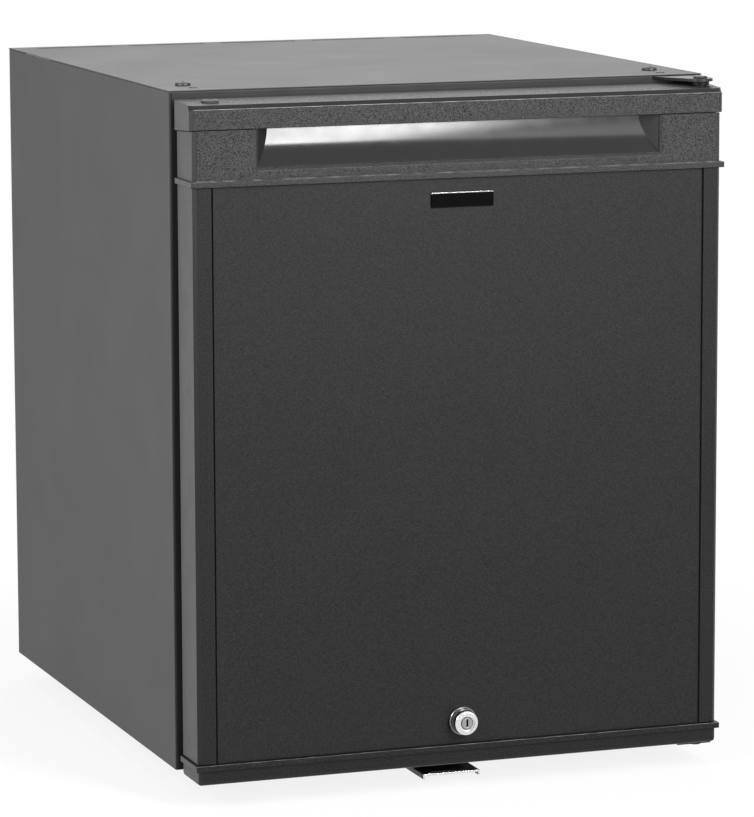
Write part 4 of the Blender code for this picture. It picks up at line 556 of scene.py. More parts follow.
def accent(piece, finish, test):
    """Gives the faces that the test accepts a second finish."""
    piece.data.materials.append(FINISH[finish][0])
    choose(piece, "faces", test)
    piece.active_material_index = len(piece.data.materials) - 1
    bpy.ops.object.material_slot_assign()
    return close(piece)


def sliced(piece, place, normal):
    """Cuts off what lies beyond the plane, and closes the cut."""
    edit(piece, "FACE")
    bpy.ops.mesh.select_all(action="SELECT")
    bpy.ops.mesh.bisect(plane_co=place, plane_no=normal, use_fill=True, clear_outer=True)
    return close(piece)


def refined(node, name, width, segments=2, angle=30):
    """A joined-up copy of a solid, with its flat triangles made one and its edges rounded."""
    piece = linked(name, frame["nodes"][node].data.copy())
    edit(piece, "VERT")
    bpy.ops.mesh.select_all(action="SELECT")
    bpy.ops.mesh.remove_doubles(threshold=NEAR_POINTS)
    bpy.ops.mesh.dissolve_limited(angle_limit=math.radians(1))
    close(piece)
    if width:
        soften(piece, width, segments, angle=angle)
    return piece


def refit(node, name, finish, width, segments=2, angle=30, smooth=30):
    """A solid's refined copy, dressed and on the solid's own body."""
    return dress(refined(node, name, width, segments, angle), finish, body_of(node), node, smooth=smooth)


def empty(name, kind):
    """A piece with no mesh yet, open for editing."""
    piece = added(name, bpy.ops.mesh.primitive_plane_add, size=1, location=(0, 0, 0))
    mesh = edit(piece, kind)
    bmesh.ops.delete(mesh, geom=mesh.verts[:], context="VERTS")
    return piece, mesh


def close_shell(piece, merge=0):
    """Merges points this near each other, turns every face outwards, and closes the piece."""
    bpy.ops.mesh.select_all(action="SELECT")
    if merge:
        bpy.ops.mesh.remove_doubles(threshold=merge)
    bpy.ops.mesh.normals_make_consistent(inside=False)
    return close(piece)


def turned(name, profile, centre, axis="Z", steps=48):
    """A turned piece: its (radius, height) profile is spun round the axis through the centre."""
    side = WAYS["Z" if axis == "X" else "X"]
    centre = Vector(centre)
    piece, mesh = empty(name, "VERT")
    points = [mesh.verts.new(centre + side * r + WAYS[axis] * h) for r, h in profile]
    for first, second in zip(points, points[1:]):
        mesh.edges.new((first, second))
    bmesh.update_edit_mesh(piece.data)
    bpy.ops.mesh.select_all(action="SELECT")
    bpy.ops.mesh.spin(steps=steps, angle=2 * math.pi, center=centre, axis=WAYS[axis])
    return close_shell(piece, 2 * NEAR_POINTS)


def extruded(name, outline, start, end):
    """A flat outline of (y, z) points drawn out along X from start to end."""
    piece, mesh = empty(name, "FACE")
    face = mesh.faces.new([mesh.verts.new((start, y, z)) for y, z in outline])
    face.select_set(True)
    bmesh.update_edit_mesh(piece.data)
    bpy.ops.mesh.extrude_region_move(TRANSFORM_OT_translate={"value": (end - start, 0, 0)})
    return close_shell(piece)


def tube(name, points, radius, sides=16):
    """A round tube through the points, its ends closed."""
    curve = bpy.data.curves.new(name, "CURVE")
    curve.dimensions = "3D"
    curve.bevel_depth = radius
    curve.bevel_resolution = sides // 4 - 1
    curve.use_fill_caps = True
    spline = curve.splines.new("POLY")
    spline.points.add(len(points) - 1)
    for point, place in zip(spline.points, points):
        point.co = (*place, 1)
    only(linked(name, curve))
    bpy.ops.object.convert(target="MESH")
    piece = bpy.context.object
    edit(piece, "VERT")
    return close_shell(piece, NEAR_POINTS)


def bent(points, radius, steps):
    """The route with an arc of this radius at each inner corner."""
    points = [Vector(point) for point in points]
    route = [points[0]]
    for before, corner, after in zip(points, points[1:], points[2:]):
        back, ahead = (before - corner).normalized(), (after - corner).normalized()
        half = back.angle(ahead) / 2
        centre = corner + (back + ahead).normalized() * radius / math.sin(half)
        reach = radius / math.tan(half)
        first = (corner + back * reach - centre).normalized()
        last = (corner + ahead * reach - centre).normalized()
        for i in range(steps + 1):
            place = centre + first.slerp(last, i / steps) * radius
            if (place - route[-1]).length > 10 * NEAR_POINTS:
                route.append(place)
    return route + [points[-1]]


# The door
# This far from the middle, a face that looks sideways is one of the door's two sides
NEAR_FLANK = 0.1900
DOOR_FRONT = -0.0423
RECESS_LOW = 0.4262
RECESS_HIGH = 0.4551
RECESS_SIDE = 0.1512
BAND_END = 0.1600
SCOOP_DEPTH = 0.0140
SCOOP_HEIGHT = 0.0290
SCOOP_STEPS = 48
END_SLANT = 0.0127
POCKET_TOP = 0.4661
LIP = 0.0020
LOCK_RISE = 0.0287


def is_chamfer(middle, normal):
    """A face turned half way between the front and the side or the top."""
    return normal.y < -0.3 and max(abs(normal.x), abs(normal.z)) > 0.3


def is_flank(middle, normal):
    return abs(normal.x) > 0.9 and abs(middle.x) > NEAR_FLANK


def is_ledge(middle, normal):
    """An edge turned half way between the front and above."""
    return 0.5 < normal.z < 0.85 and normal.y < -0.3


def moulding(node, name, finish, width, segments=2, chamfer=is_chamfer):
    """A moulding of the door, its chamfers darker and ungrained, partly as painted shade, and its sides paler
    as painted light.
    """
    piece = refit(node, name, finish, width, segments)
    accent(piece, "smooth_black", chamfer)
    accent(piece, "door_flank", is_flank)
    return piece


def make_front_panel():
    """The dark laminated panel, with its edges just broken."""
    refit("door_front_panel", "front_panel", "panel_laminate", 0.0003)


def make_door_trims():
    """The smooth profiles down both sides of the panel."""
    for side in ("left", "right"):
        moulding("door_trim_" + side, "door_edge_" + side, "trim_plastic", 0.0004)


def make_door_caps():
    """The tray below, the grained band with its recess, and the cap above."""
    # Edges along the ledges, the recess and the cap take the paler coat, a painted highlight.
    accent(moulding("door_bottom_cap", "bottom_cap", "trim_plastic", 0.0005, 3), "rolled_edge", is_ledge)
    grip = moulding("door_handle_trim", "handle_band", "speckled_plastic", 0.0005, 3,
                    lambda m, n: abs(m.x) > BAND_END and is_chamfer(m, n))
    mouth = at(0, DOOR_FRONT, RECESS_LOW) + Vector((0, 0.001, 0.001))
    accent(grip, "rolled_edge", lambda m, n: is_ledge(m, n) and m.z < mouth.z and m.y < mouth.y)
    cap = moulding("door_top_cap", "top_cap", "speckled_plastic", 0.0006, 3)
    accent(cap, "rolled_edge", lambda m, n: 0.15 < n.z < 0.30 and n.y < -0.75)


def recess_space():
    """The room for the fingers: up the concave scoop, up behind the lip, narrower towards the back."""
    outside, back, behind_lip = DOOR_FRONT - 0.005, DOOR_FRONT + SCOOP_DEPTH, DOOR_FRONT + LIP
    section = [(outside, RECESS_LOW)]
    for i in range(SCOOP_STEPS + 1):
        part = i / SCOOP_STEPS
        inward = SCOOP_DEPTH * math.sin(math.pi / 2 * part)
        section.append((DOOR_FRONT + inward, RECESS_LOW + SCOOP_HEIGHT * part))
    section += [(back, POCKET_TOP), (behind_lip, POCKET_TOP)]
    section += [(behind_lip, RECESS_HIGH), (outside, RECESS_HIGH)]
    space = extruded("recess_space", [at(0, y, z).yz for y, z in section], -NEAR_FLANK, NEAR_FLANK)
    for side in (-1, 1):
        sliced(space, at(side * RECESS_SIDE, DOOR_FRONT, 0), (side * SCOOP_DEPTH, END_SLANT, 0))
    return space


def make_scoop():
    """The glossy hollow behind the recess, with slanted dark ends."""
    scoop = carve(block("scoop", *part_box("handle_scoop")), recess_space())
    dress(scoop, "gloss_black", "door", "handle_scoop", smooth=20)
    accent(scoop, "smooth_black", lambda m, n: 0.3 < abs(n.x) < 0.95)


def make_badge():
    """A blank plate with a rolled rim, chrome only along its top edge as a painted highlight."""
    low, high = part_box("badge_plate")
    plate = block("blank_plate", low, high)
    soften(plate, 0.0012, 5, test=lambda m, d: abs(d.y) > 0.9)
    hollow(plate, lambda m, n: n.y < -0.9, 0.0006, 0.00015)
    soften(plate, 0.0001, 2, angle=40)
    dress(plate, "plate_black", "door", "badge_plate")
    # Chrome on the rim's top edge only: a painted highlight.
    accent(plate, "chrome", lambda m, n: n.y < -0.2 and m.z > high.z - 0.0007)


def make_lock():
    """A chrome cam lock: a rolled ring, a face with a broken edge, and the plug with its keyway."""
    profile = [
        (0.0045, -0.0200), (0.0080, -0.0200), (0.0080, -0.0416), (0.0106, -0.0416), (0.0106, -0.0430),
        (0.0104, -0.0438), (0.0100, -0.0442), (0.0094, -0.0442), (0.0090, -0.0438), (0.0089, -0.0444),
        (0.0089, -0.0503), (0.0087, -0.0511), (0.0078, -0.0519), (0.0071, -0.0520), (0.0069, -0.0523),
        (0.0056, -0.0523), (0.0054, -0.0514), (0.0047, -0.0514), (0.0045, -0.0518), (0.0045, -0.0200),
    ]
    centre = at(0, 0, LOCK_RISE)
    barrel = turned("lock_ring", profile, centre, "Y", 64)
    dress(barrel, "chrome", "door", "lock_barrel", smooth=35)
    face = at(0, -0.0510, 0).y
    # The ring behind the face takes a darker chrome as painted reflection of dark surroundings; the bore
    # round the plug and the plug's keyway are painted black as shade.
    accent(barrel, "lock_ring_metal", lambda m, n: m.y > face)
    accent(barrel, "smooth_black", lambda m, n: (m - centre).xz.length < 0.0050)
    plug = refit("lock_plug", "lock_core", "lock_core_metal", 0.0003, smooth=40)
    accent(plug, "smooth_black",
           lambda m, n: abs(m.x) < 0.0009 and n.y > -0.5 and abs(m.z - centre.z) < 0.0031)
    refit("lock_cam", "lock_arm", "bare_steel", 0.0004)
    refit("lock_nut", "lock_ring_nut", "bare_steel", 0.0004)


def make_gasket():
    """The soft seal: a folded bellows with a magnet strip in its face, mitred at the corners."""
    low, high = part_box("door_gasket")
    # How far in from the outer edge, and which part of the way back from the door, the section's points lie
    section = [
        (0.0000, 0.10), (0.0000, 0.42), (0.0012, 0.52), (0.0004, 0.62), (0.0004, 0.95), (0.0012, 1.00),
        (0.0088, 1.00), (0.0096, 0.95), (0.0096, 0.72), (0.0108, 0.64), (0.0122, 0.60), (0.0136, 0.50),
        (0.0140, 0.36), (0.0134, 0.20), (0.0120, 0.06), (0.0104, 0.00), (0.0016, 0.00),
    ]
    seal = linked("door_seal", bpy.data.meshes.new("seal"))
    mesh = edit(seal, "FACE")
    rings = []
    for x_side, z_side in ((-1, -1), (1, -1), (1, 1), (-1, 1)):
        ring = []
        for inward, back in section:
            x = (low.x if x_side < 0 else high.x) - x_side * inward
            z = (low.z if z_side < 0 else high.z) - z_side * inward
            ring.append(mesh.verts.new((x, low.y + back * (high.y - low.y), z)))
        rings.append(ring)
    for ring, following in zip(rings, rings[1:] + rings[:1]):
        for i in range(len(section)):
            j = (i + 1) % len(section)
            mesh.faces.new((ring[i], ring[j], following[j], following[i]))
    bmesh.update_edit_mesh(seal.data)
    close_shell(seal)
    dress(seal, "rubber", "door", "door_gasket", smooth=35)


def make_spare_plug():
    """The cap on the spare hinge hole, with a shallow cross in its low dome."""
    low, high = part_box("spare_hinge_plug")
    foot, rise = middle_of("spare_hinge_plug"), high.z - low.z
    foot.z = low.z
    stem, brim = rise - 0.0012, high.z - 0.0006
    profile = [(0, 0), (0.0053, 0), (0.0053, stem), (0.0063, stem), (0.0065, stem + 0.0003),
               (0.0062, stem + 0.0007), (0.0048, stem + 0.0011), (0.0025, rise), (0, rise)]
    plug = turned("spare_plug", profile, foot, "Z", 40)
    for x, y in ((0.0032, 0.0005), (0.0005, 0.0032)):
        low, high = foot + Vector((-x, -y, rise - 0.0004)), foot + Vector((x, y, rise + 0.001))
        carve(plug, block("cross", low, high))
    # The plug takes the same paler coat, painted light like the door's sides.
    dress(plug, "door_flank", "door", "spare_hinge_plug", smooth=40)
    # The walls of the plug's cross are painted black as shade.
    accent(plug, "smooth_black", lambda m, n: abs(n.z) < 0.5 and m.z > brim and (m - foot).xy.length < 0.0040)


make_front_panel()
make_door_trims()
make_door_caps()
make_scoop()
make_badge()
make_lock()
make_gasket()
make_spare_plug()


# The casing
TOP = 0.4792
SCREW_SIDE = 0.1770
RIVET_SIDE = 0.1760
FOOT_RADIUS = 0.0120
RIB_ROOT = 0.0112
RIB_STEP = 0.0040


def make_casing():
    """The folded sheets: both sides, the top with its vents, the base and the grey back."""
    sheets = {"side_sheet_left": "left_side_panel", "side_sheet_right": "right_side_panel",
              "top_sheet": "top_panel", "base_sheet": "base_panel"}
    for name, node in sheets.items():
        sheet = refit(node, name, "casing_paint", 0.0002, angle=50, smooth=40)
        if name != "base_sheet":
            # The sheets' front flanges are painted black as the shade in the gap in front of them.
            accent(sheet, "smooth_black", lambda m, n: n.y < -0.6 and m.y < FRONT_Y + 0.0030)
    refit("back_panel", "back_sheet", "unit_paint", 0.0002, 1)


def cross_screw(name, place, axis, way, radius, rise, length=0.0):
    """A pan-head screw with a cross recess, which faces along the axis where way is 1."""
    place = Vector(place)
    stem = [(0, -length), (0.36 * radius, -length), (0.36 * radius, 0)] if length else [(0, 0)]
    head = [(1, 0), (1, 0.38), (0.96, 0.60), (0.84, 0.82), (0.62, 0.95), (0.40, 1.0), (0, 1.0)]
    profile = stem + [(radius * r, rise * h) for r, h in head]
    screw = turned(name, [(r, way * h) for r, h in profile], place, axis, 32)
    sides = [side for letter, side in WAYS.items() if letter != axis]
    out = WAYS[axis] * way * rise
    for long, short in (sides, sides[::-1]):
        reach = long * radius * 0.58 + short * radius * 0.13
        ends = [place - reach + out * 0.40, place + reach + out * 1.6]
        carve(screw, block("cross", list(map(min, *ends)), list(map(max, *ends))))
    return screw


def make_casing_screws():
    """Two cross-head screws in the top, beside each a flush rivet, and one black dot on the flange as painted
    shade for a hole.
    """
    left = cross_screw("left_screw", at(-SCREW_SIDE, 0.0420, TOP + 0.0003), "Z", 1, 0.0055, 0.0022, 0.0120)
    dress(copy_of(left, "right_screw", (2 * SCREW_SIDE, 0, 0)), "dark_steel", "cabinet", "top_screw_right")
    dress(left, "dark_steel", "cabinet", "top_screw_left")
    rivet = cross_screw("left_rivet", at(-RIVET_SIDE, 0.0200, TOP), "Z", 1, 0.0032, 0.0007)
    dress(copy_of(rivet, "right_rivet", (2 * RIVET_SIDE, 0, 0)), "dark_steel", "cabinet")
    dress(rivet, "dark_steel", "cabinet")
    profile = [(0, 0.0002), (0.0016, 0.0002), (0.0016, -0.00015), (0.0013, -0.0002), (0.0010, 0.0001),
               (0, 0.0001)]
    # A black disc on the flange: painted shade standing for a hole.
    dress(turned("flange_dot", profile, at(-0.1830, 0, 0.4735), "Y", 24), "smooth_black", "cabinet")


def make_hinges():
    """Both hinge plates with their pins, washers and bushes, and the screws that hold the lower one."""
    parts = (("plate", "hinge_leaf", "hinge_black", 0.0003, 3), ("pin", "pin", "hinge_black", 0.0002),
             ("bush", "bush", "trim_plastic", 0.0002))
    for node, name, *look in parts:
        refit("top_hinge_" + node, "upper_" + name, *look, angle=35, smooth=40)
        refit("bottom_hinge_" + node, "lower_" + name, *look, angle=35, smooth=40)
    first = cross_screw("lower_hinge_screw_front", at(0.1850, 0.0150, -0.0024), "Z", -1, 0.0042, 0.0018)
    dress(copy_of(first, "lower_hinge_screw_rear", (0, 0.0200, 0)), "dark_steel", "cabinet")
    dress(first, "dark_steel", "cabinet")


def make_keeper():
    """The black catch under the door, its front edge sheared bright, held by two screws."""
    keeper = refit("lock_keeper", "catch_bracket", "hinge_black", 0.0004, 3)
    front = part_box("lock_keeper")[0].y
    accent(keeper, "chrome", lambda m, n: m.y < front + 0.0005 and n.y < -0.3)
    left = cross_screw("catch_screw_left", at(-0.0120, 0.0320, -0.0019), "Z", -1, 0.0040, 0.0018)
    dress(copy_of(left, "catch_screw_right", (0.0240, 0, 0)), "dark_steel", "cabinet")
    dress(left, "dark_steel", "cabinet")


def make_feet():
    """Ribbed rubber feet on steel studs, hollow below; the front ones screw out to level the cabinet."""
    profile = [(0, 0.0150), (0.0036, 0.0150), (0.0040, 0.0146), (0.0040, -0.0003), (0.0085, -0.0003),
               (0.0114, -0.0008)]
    level = -0.0020
    while level > -0.0180:
        profile += [(FOOT_RADIUS, level), (FOOT_RADIUS, level - 0.0022)]
        profile += [(RIB_ROOT, level - 0.0027), (RIB_ROOT, level - 0.0035)]
        level -= RIB_STEP
    profile += [(FOOT_RADIUS, level), (FOOT_RADIUS, -0.0198), (0.0113, -0.0206), (0.0104, -0.0208),
                (0.0072, -0.0208), (0.0064, -0.0201), (0, -0.0200)]
    nodes = ("front_foot_left", "front_foot_right", "rear_foot_left", "rear_foot_right")
    places = [middle_of(node) for node in nodes]
    start = Vector((*places[0].xy, BASE_Z))
    feet = [turned("ribbed_front_foot_left", profile, start, "Z", 48)]
    for node, place in zip(nodes[1:], places[1:]):
        feet.append(copy_of(feet[0], "ribbed_" + node, (*(place - start).xy, 0)))
    for node, foot in zip(nodes, feet):
        dress(foot, "rubber", body_of(node), node, smooth=35)
        accent(foot, "bare_steel", lambda m, n: m.z > BASE_Z - 0.0002 and n.xy.length > 0.5)


make_casing()
make_casing_screws()
make_hinges()
make_keeper()
make_feet()


# The inside
# Half the cavity's width, its back, its floor and its ceiling
CAVITY = (0.1600, 0.2630, 0.0450, 0.4400)
FLUTES = 24
SCALE_RADIUS = 0.0163
HOUSING_FRONT = 0.0620


def near(value, *marks):
    return any(abs(value - mark) < 0.0004 for mark in marks)


def make_liner():
    """The vacuum-formed box: soft inner corners, and a rolled edge round its mouth."""
    liner = refined("inner_liner", "formed_liner", 0)
    side, back, floor, ceiling = CAVITY
    mouth, rear = at(0, 0, floor), at(0, back, ceiling)
    soften(liner, 0.0090, 5, lambda m, d: abs(d.z) > 0.9 and near(abs(m.x), side) and near(m.y, rear.y))
    soften(liner, 0.0070, 5, lambda m, d: near(m.z, mouth.z) and (
        (abs(d.y) > 0.9 and near(abs(m.x), side)) or (abs(d.x) > 0.9 and near(m.y, rear.y))))
    soften(liner, 0.0012, 3, lambda m, d: near(m.y, mouth.y) and (
        (abs(d.z) > 0.9 and near(abs(m.x), side)) or (abs(d.x) > 0.9 and near(m.z, mouth.z, rear.z))))
    dress(liner, "white_liner", "cabinet", "inner_liner", smooth=40)


def make_shelves():
    refit("shelf_lower", "lower_slatted_shelf", "white_liner", 0.0006)
    refit("shelf_upper", "upper_slatted_shelf", "white_liner", 0.0006)


def dial_centre():
    """The middle of the dial's back face."""
    centre = middle_of("thermostat_knob")
    centre.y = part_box("thermostat_knob")[1].y
    return centre


def make_dial():
    """The fluted dial, with a dark groove in its grip as its mark."""
    centre = dial_centre()
    profile = [(0, 0), (0.0135, 0), (0.0135, -0.0050), (0.0132, -0.0056), (0.0122, -0.0062),
               (0.0119, -0.0125), (0.0114, -0.0136), (0.0104, -0.0140), (0, -0.0140)]
    dial = turned("numbered_dial", profile, centre, "Y", 72)
    for i in range(FLUTES):
        turn = 2 * math.pi * i / FLUTES
        place = centre + Vector((0.0126 * math.cos(turn), -0.0100, 0.0126 * math.sin(turn)))
        carve(dial, rod("flute", place, 0.0011, 0.0078, "Y", 12))
    low, high = Vector((-0.0020, -0.0180, -0.0112)), Vector((0.0020, -0.0130, 0.0112))
    carve(dial, soften(block("grip", centre + low, centre + high), 0.0010, 3), how="UNION")
    low = centre + Vector((-0.0005, -0.0190, 0.0040))
    carve(dial, block("mark", low, low + Vector((0.0010, 0.0014, 0.0080))))
    dress(dial, "white_knob", "thermostat_dial", "thermostat_knob", smooth=35)
    accent(dial, "smooth_black", lambda m, n: abs(m.x - centre.x) < 0.0008
           and m.z > centre.z + 0.0038 and m.y < centre.y - 0.0150)


def make_scale():
    """The numbers 0 to 7 round the dial, printed on the control block's front."""
    centre, front = dial_centre(), at(0, HOUSING_FRONT, 0).y
    for number in range(8):
        turn = math.radians(225 - 270 * number / 7)
        x, z = centre.x + SCALE_RADIUS * math.cos(turn), centre.z + SCALE_RADIUS * math.sin(turn)
        mark = added("dial_number_" + str(number), bpy.ops.object.text_add,
                     location=(x, front - 0.00001, z), rotation=(math.pi / 2, 0, 0))
        mark.data.body, mark.data.size, mark.data.extrude = str(number), 0.0036, 0.00008
        mark.data.align_x, mark.data.align_y = "CENTER", "CENTER"
        only(mark)
        bpy.ops.object.convert(target="MESH")
        settle(mark)
        dress(mark, "trim_plastic", "cabinet")


def make_lamp():
    """The ribbed cover over the lamp, beside the dial."""
    lamp = refined("lamp_lens", "lamp_cover", 0.0005, 2, angle=35)
    low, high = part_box("lamp_lens")
    for i in range(7):
        across = low.y + 0.0090 + 0.0070 * i
        carve(lamp, block("groove", (low.x + 0.0060, across - 0.0006, low.z - 0.001),
                          (high.x - 0.0030, across + 0.0006, low.z + 0.0006)))
    dress(lamp, "lamp_plastic", "cabinet", "lamp_lens", smooth=40)


def make_thermostat():
    """The control block with its dial, its lamp cover and the sensor tube."""
    refit("thermostat_housing", "control_housing", "white_liner", 0.0006, 3, angle=20, smooth=35)
    make_dial()
    make_scale()
    make_lamp()
    refit("thermostat_sensor", "sensor_tube", "aluminium", 0.0002, smooth=45)


def make_switch():
    refit("door_switch_body", "switch_housing", "white_liner", 0.0006, 3)
    refit("door_switch_plunger", "switch_button", "white_knob", 0.0004, 3, smooth=45)


def make_evaporator():
    refit("evaporator", "cold_fins", "aluminium", 0.0002)


def make_inner_panel():
    """The door's formed inner sheet, every edge of its dyke rolled."""
    inner = refined("door_inner_panel", "formed_inner_sheet", 0)
    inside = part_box("door_inner_panel")[1].y
    soften(inner, 0.0030, 5, lambda m, d: m.y > inside - 0.0195 and abs(d.y) > 0.9 and abs(m.x) > 0.1475)
    soften(inner, 0.0012, 3)
    dress(inner, "white_liner", "door", "door_inner_panel", smooth=35)


def make_racks():
    """Clear moulded bins: rounded corners, a floor that curves up into the walls, and a lip round the top."""
    for level in ("lower", "middle", "upper"):
        node = "door_rack_" + level
        low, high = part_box(node)
        rack = block(level + "_bin", low, high)
        soften(rack, 0.0080, 6, lambda m, d: abs(d.z) > 0.9)
        soften(rack, 0.0030, 4, lambda m, d: m.z < low.z + 0.001 and abs(d.z) < 0.1)
        choose(rack, "faces", lambda m, n: n.z > 0.9)
        bpy.ops.mesh.inset(thickness=0.0020, depth=0)
        bpy.ops.mesh.inset(thickness=0.0003, depth=-(high.z - low.z) + 0.0042)
        bpy.ops.mesh.inset(thickness=0.0012, depth=-0.0014)
        bpy.ops.mesh.inset(thickness=0.0016, depth=-0.0006)
        close(rack)
        soften(rack, 0.0005, 3, lambda m, d: m.z > high.z - 0.0004)
        dress(rack, "clear_plastic", body_of(node), node, smooth=50)


make_liner()
make_shelves()
make_thermostat()
make_switch()
make_evaporator()
make_inner_panel()
make_racks()


# The cooling unit behind
UNIT_LINE = middle_of("absorber_coil").y - FRONT_Y
RAIL_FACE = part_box("unit_rail_lower")[1].y
DRUM_RADIUS = 0.0275
FIN_RISE = 0.4200
LOW_RISE = 0.0720
VESSEL_TOP = LOW_RISE + DRUM_RADIUS
COIL_LEFT, COIL_RIGHT = -0.1500, 0.0600
COIL_TOP = 0.3400
COIL_STEP = 0.0500
EXCHANGER_SIDE = 0.0800
FINS = 21
FIN_THICK = 0.0010


def route_of(corners, radius):
    """The route through (x, z) corners on the unit's own plane, with an arc at each."""
    return bent([at(x, UNIT_LINE, z) for x, z in corners], radius, 14)


def painted(piece, *nodes, smooth=40):
    return dress(piece, "unit_paint", "cabinet", *nodes, smooth=smooth)


def weld_ring(name, centre, axis, radius, height):
    """A bead of weld round a joint, a little uneven along its length."""
    section = [(0, -1), (0.8, -0.8), (1, 0), (0.8, 0.8), (0, 1), (-0.5, 0), (0, -1)]
    ring = turned(name, [(radius + height * r, height * h) for r, h in section], centre, axis, 48)
    mesh = edit(ring, "VERT")
    for i, point in enumerate(mesh.verts):
        point.co += (point.co - Vector(centre)).normalized() * height * 0.12 * math.sin(i * 2.4)
    bmesh.update_edit_mesh(ring.data)
    close(ring)
    return dress(ring, "weld_bead", "cabinet")


def make_pipes():
    """The absorber's five runs, the heat exchanger and the boiler's pipe, round and smoothly bent."""
    end = VESSEL_TOP + 0.0003
    coil = [(-0.1503, FIN_RISE), (-0.1750, FIN_RISE), (-0.1750, COIL_TOP)]
    for run in range(5):
        side, rise = (COIL_LEFT if run % 2 else COIL_RIGHT), COIL_TOP - COIL_STEP * run
        coil += [(side, rise), (side, rise - COIL_STEP)]
    coil[-1] = (COIL_RIGHT, end)
    painted(tube("absorber_runs", route_of(coil, 0.0240), 0.0070, 24), "absorber_coil", smooth=45)
    corners = [at(EXCHANGER_SIDE, 0.2630, 0.3800), at(EXCHANGER_SIDE, UNIT_LINE, 0.3800),
               at(EXCHANGER_SIDE, UNIT_LINE, end)]
    exchanger = tube("heat_exchanger", bent(corners, 0.0300, 14), 0.0100, 28)
    painted(exchanger, "gas_heat_exchanger", smooth=45)
    rising = route_of([(0.1489, 0.0580), (0.1489, FIN_RISE), (0.0903, FIN_RISE)], 0.0300)
    painted(tube("rising_pipe", rising, 0.0110, 28), "boiler_pipe", smooth=45)
    weld_ring("coil_weld", at(COIL_RIGHT, UNIT_LINE, VESSEL_TOP), "Z", 0.0070, 0.0016)
    weld_ring("exchanger_weld", at(EXCHANGER_SIDE, UNIT_LINE, VESSEL_TOP), "Z", 0.0100, 0.0016)


def make_vessel():
    """The drum: smooth domed ends, a weld round each, and the pinched filling stub."""
    half, dome = 0.1350, DRUM_RADIUS / 2
    turns = [math.pi / 2 * i / 12 for i in range(12)]
    arc = [(DRUM_RADIUS * math.cos(turn), half - dome + dome * math.sin(turn)) for turn in turns]
    arc.append((0, half))
    centre = at(-0.0350, UNIT_LINE, LOW_RISE)
    drum = turned("absorber_drum", [(r, -h) for r, h in arc[::-1]] + arc, centre, "X", 72)
    painted(drum, "absorber_vessel")
    for name, way in (("left_drum_weld", -1), ("right_drum_weld", 1)):
        weld_ring(name, centre + Vector((way * (half - dome), 0, 0)), "X", DRUM_RADIUS - 0.0004, 0.0014)
    stub = [(0, 0), (0.0028, 0), (0.0028, -0.0090), (0.0024, -0.0104), (0.0014, -0.0118), (0.0014, -0.0150),
            (0, -0.0152)]
    painted(turned("filling_stub", stub, centre + Vector((-half + 0.0006, 0, 0)), "X", 24))


def make_condenser():
    """Thin aluminium fins, each with a collar, pressed on a steel tube."""
    low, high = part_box("condenser")
    centre = Vector((0, at(0, UNIT_LINE, 0).y, middle_of("condenser").z))
    fin = block("fin", low, (low.x + FIN_THICK, high.y, high.z))
    soften(fin, 0.0030, 3, lambda m, d: abs(d.x) > 0.9)
    collar = [(0.0112, 0.0003), (0.0124, 0.0003), (0.0120, 0.0020), (0.0112, 0.0022), (0.0112, 0.0003)]
    carve(fin, rod("bore", centre + Vector((low.x, 0, 0)), 0.0112, 0.006, "X", 40))
    ring = turned("collar", collar, centre + Vector((low.x + FIN_THICK / 2, 0, 0)), "X", 40)
    fins = [join("fin", fin, ring)]
    step = (high.x - low.x - FIN_THICK) / (FINS - 1)
    # The last fin stands a little further in, so that its collar ends within the solid's length
    for i in range(1, FINS):
        fins.append(copy_of(fins[0], "fin_" + str(i), (step * i - (0.0012 if i == FINS - 1 else 0), 0, 0)))
    dress(join("condenser_fins", *fins), "aluminium", "cabinet", "condenser", smooth=35)
    start, end = low.x - 0.0002, high.x + 0.0002
    profile = [(0.0070, start), (0.0110, start + 0.0010), (0.0110, end), (0, end), (0, start),
               (0.0070, start)]
    painted(turned("condenser_tube", profile, centre, "X", 40))


def make_boiler():
    """The sheet casing with folded seams, its packed wool, and the heater."""
    low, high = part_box("boiler_casing")
    casing = refined("boiler_casing", "boiler_cover", 0.0004)
    for level in (low.z + 0.0450, high.z - 0.0450):
        carve(casing, block("seam", (low.x - 0.001, high.y - 0.0004, level - 0.0004),
                            (high.x + 0.001, high.y + 0.001, level + 0.0004)))
    painted(casing, "boiler_casing", smooth=35)
    sheet = Vector((0.0012, 0.0012, 0.0012))
    wool = block("wool", (*(low + sheet).xy, low.z + 0.0040), high - sheet)
    pipe_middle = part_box("boiler_pipe")[1].x - 0.0110
    for x, radius in ((pipe_middle, 0.0113), (middle_of("heater_element").x, 0.0073)):
        place = (x, at(0, UNIT_LINE, 0).y, middle_of("boiler_casing").z)
        carve(wool, rod("way", place, radius, 0.4, "Z", 28))
    dress(wool, "mineral_wool", "cabinet", smooth=35)
    refit("heater_element", "heater_rod", "bare_steel", 0.0004, smooth=45)


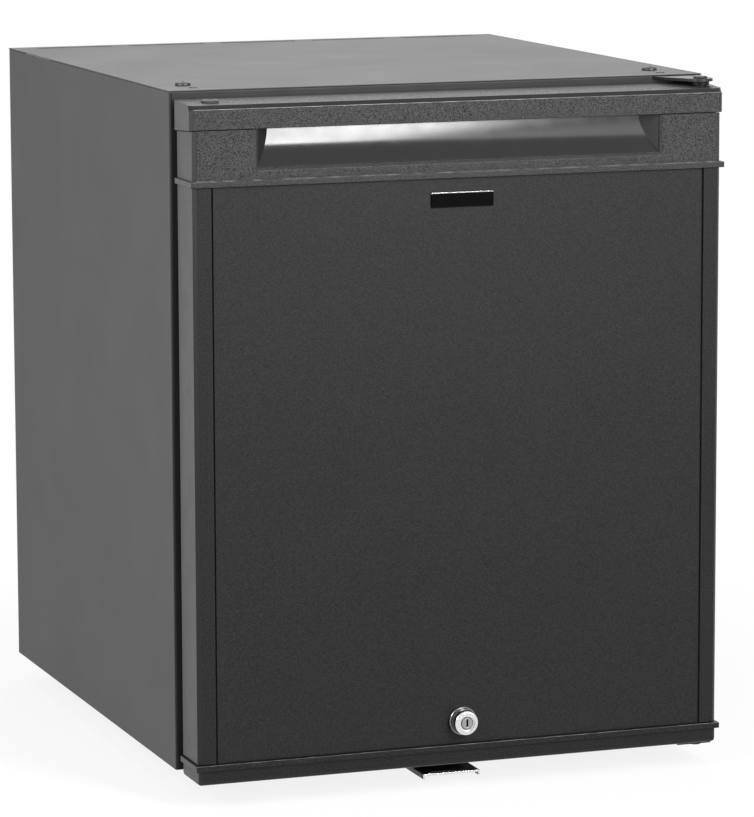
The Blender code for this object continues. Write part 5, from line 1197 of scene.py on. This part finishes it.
def make_rails():
    """The two steel rails that carry the unit, with the screws that hold it to them."""
    for name, node in (("lower_rail", "unit_rail_lower"), ("upper_rail", "unit_rail_upper")):
        refit(node, name, "galvanised", 0.0003)
    start = -0.1600
    first = cross_screw("rail_screw_0", (start, RAIL_FACE, at(0, 0, LOW_RISE).z), "Y", 1, 0.0040, 0.0009)
    places = [(x, LOW_RISE) for x in (-0.06, 0.06, 0.16)] + [(x, FIN_RISE) for x in (-0.16, -0.03, 0.16)]
    for i, (x, rise) in enumerate(places, 1):
        screw = copy_of(first, "rail_screw_" + str(i), (x - start, 0, rise - LOW_RISE))
        dress(screw, "bare_steel", "cabinet")
    dress(first, "bare_steel", "cabinet")


def make_control_box():
    """The supply box: a lid seam all round, four lid screws, and the ribbed inlet gland."""
    low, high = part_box("control_box")
    box = refined("control_box", "supply_box", 0.0006, 3, angle=25)
    outer, seam, inset = 0.001, 0.0005, 0.0080
    line = block("lid_line", (low.x - outer, low.y - outer, high.z - 0.0092),
                 (high.x + outer, high.y + outer, high.z - 0.0084))
    carve(line, block("kept", (low.x + seam, low.y + seam, high.z - 0.0100),
                      (high.x - seam, high.y - seam, high.z - 0.0080)))
    carve(box, line)
    painted(box, "control_box", smooth=35)
    first = cross_screw("lid_screw_0", (low.x + inset, low.y + inset, high.z), "Z", 1, 0.0032, 0.0014)
    wide, deep = high.x - low.x - 2 * inset, high.y - low.y - 2 * inset
    for i, move in enumerate(((wide, 0, 0), (0, deep, 0), (wide, deep, 0)), 1):
        dress(copy_of(first, "lid_screw_" + str(i), move), "bare_steel", "cabinet")
    dress(first, "bare_steel", "cabinet")
    place = middle_of("cord_inlet")
    place.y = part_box("cord_inlet")[0].y
    profile = [(0.0030, 0.0060), (0.0030, 0.0020), (0, 0.0020), (0, 0), (0.0060, 0), (0.0060, 0.0014),
               (0.0054, 0.0018), (0.0054, 0.0024), (0.0058, 0.0028), (0.0058, 0.0036), (0.0050, 0.0040),
               (0.0048, 0.0054), (0.0042, 0.0060), (0.0030, 0.0060)]
    dress(turned("inlet_gland", profile, place, "Y", 40), "rubber", "cabinet", "cord_inlet", smooth=35)


make_pipes()
make_vessel()
make_condenser()
make_boiler()
make_rails()
make_control_box()

# The foam, which keeps the solid model's own shape
for node, finish in (("insulation", "casing_foam"), ("door_core", "door_backing")):
    solid = frame["nodes"][node]
    solid.data.materials.clear()
    solid.data.materials.append(FINISH[finish][0])
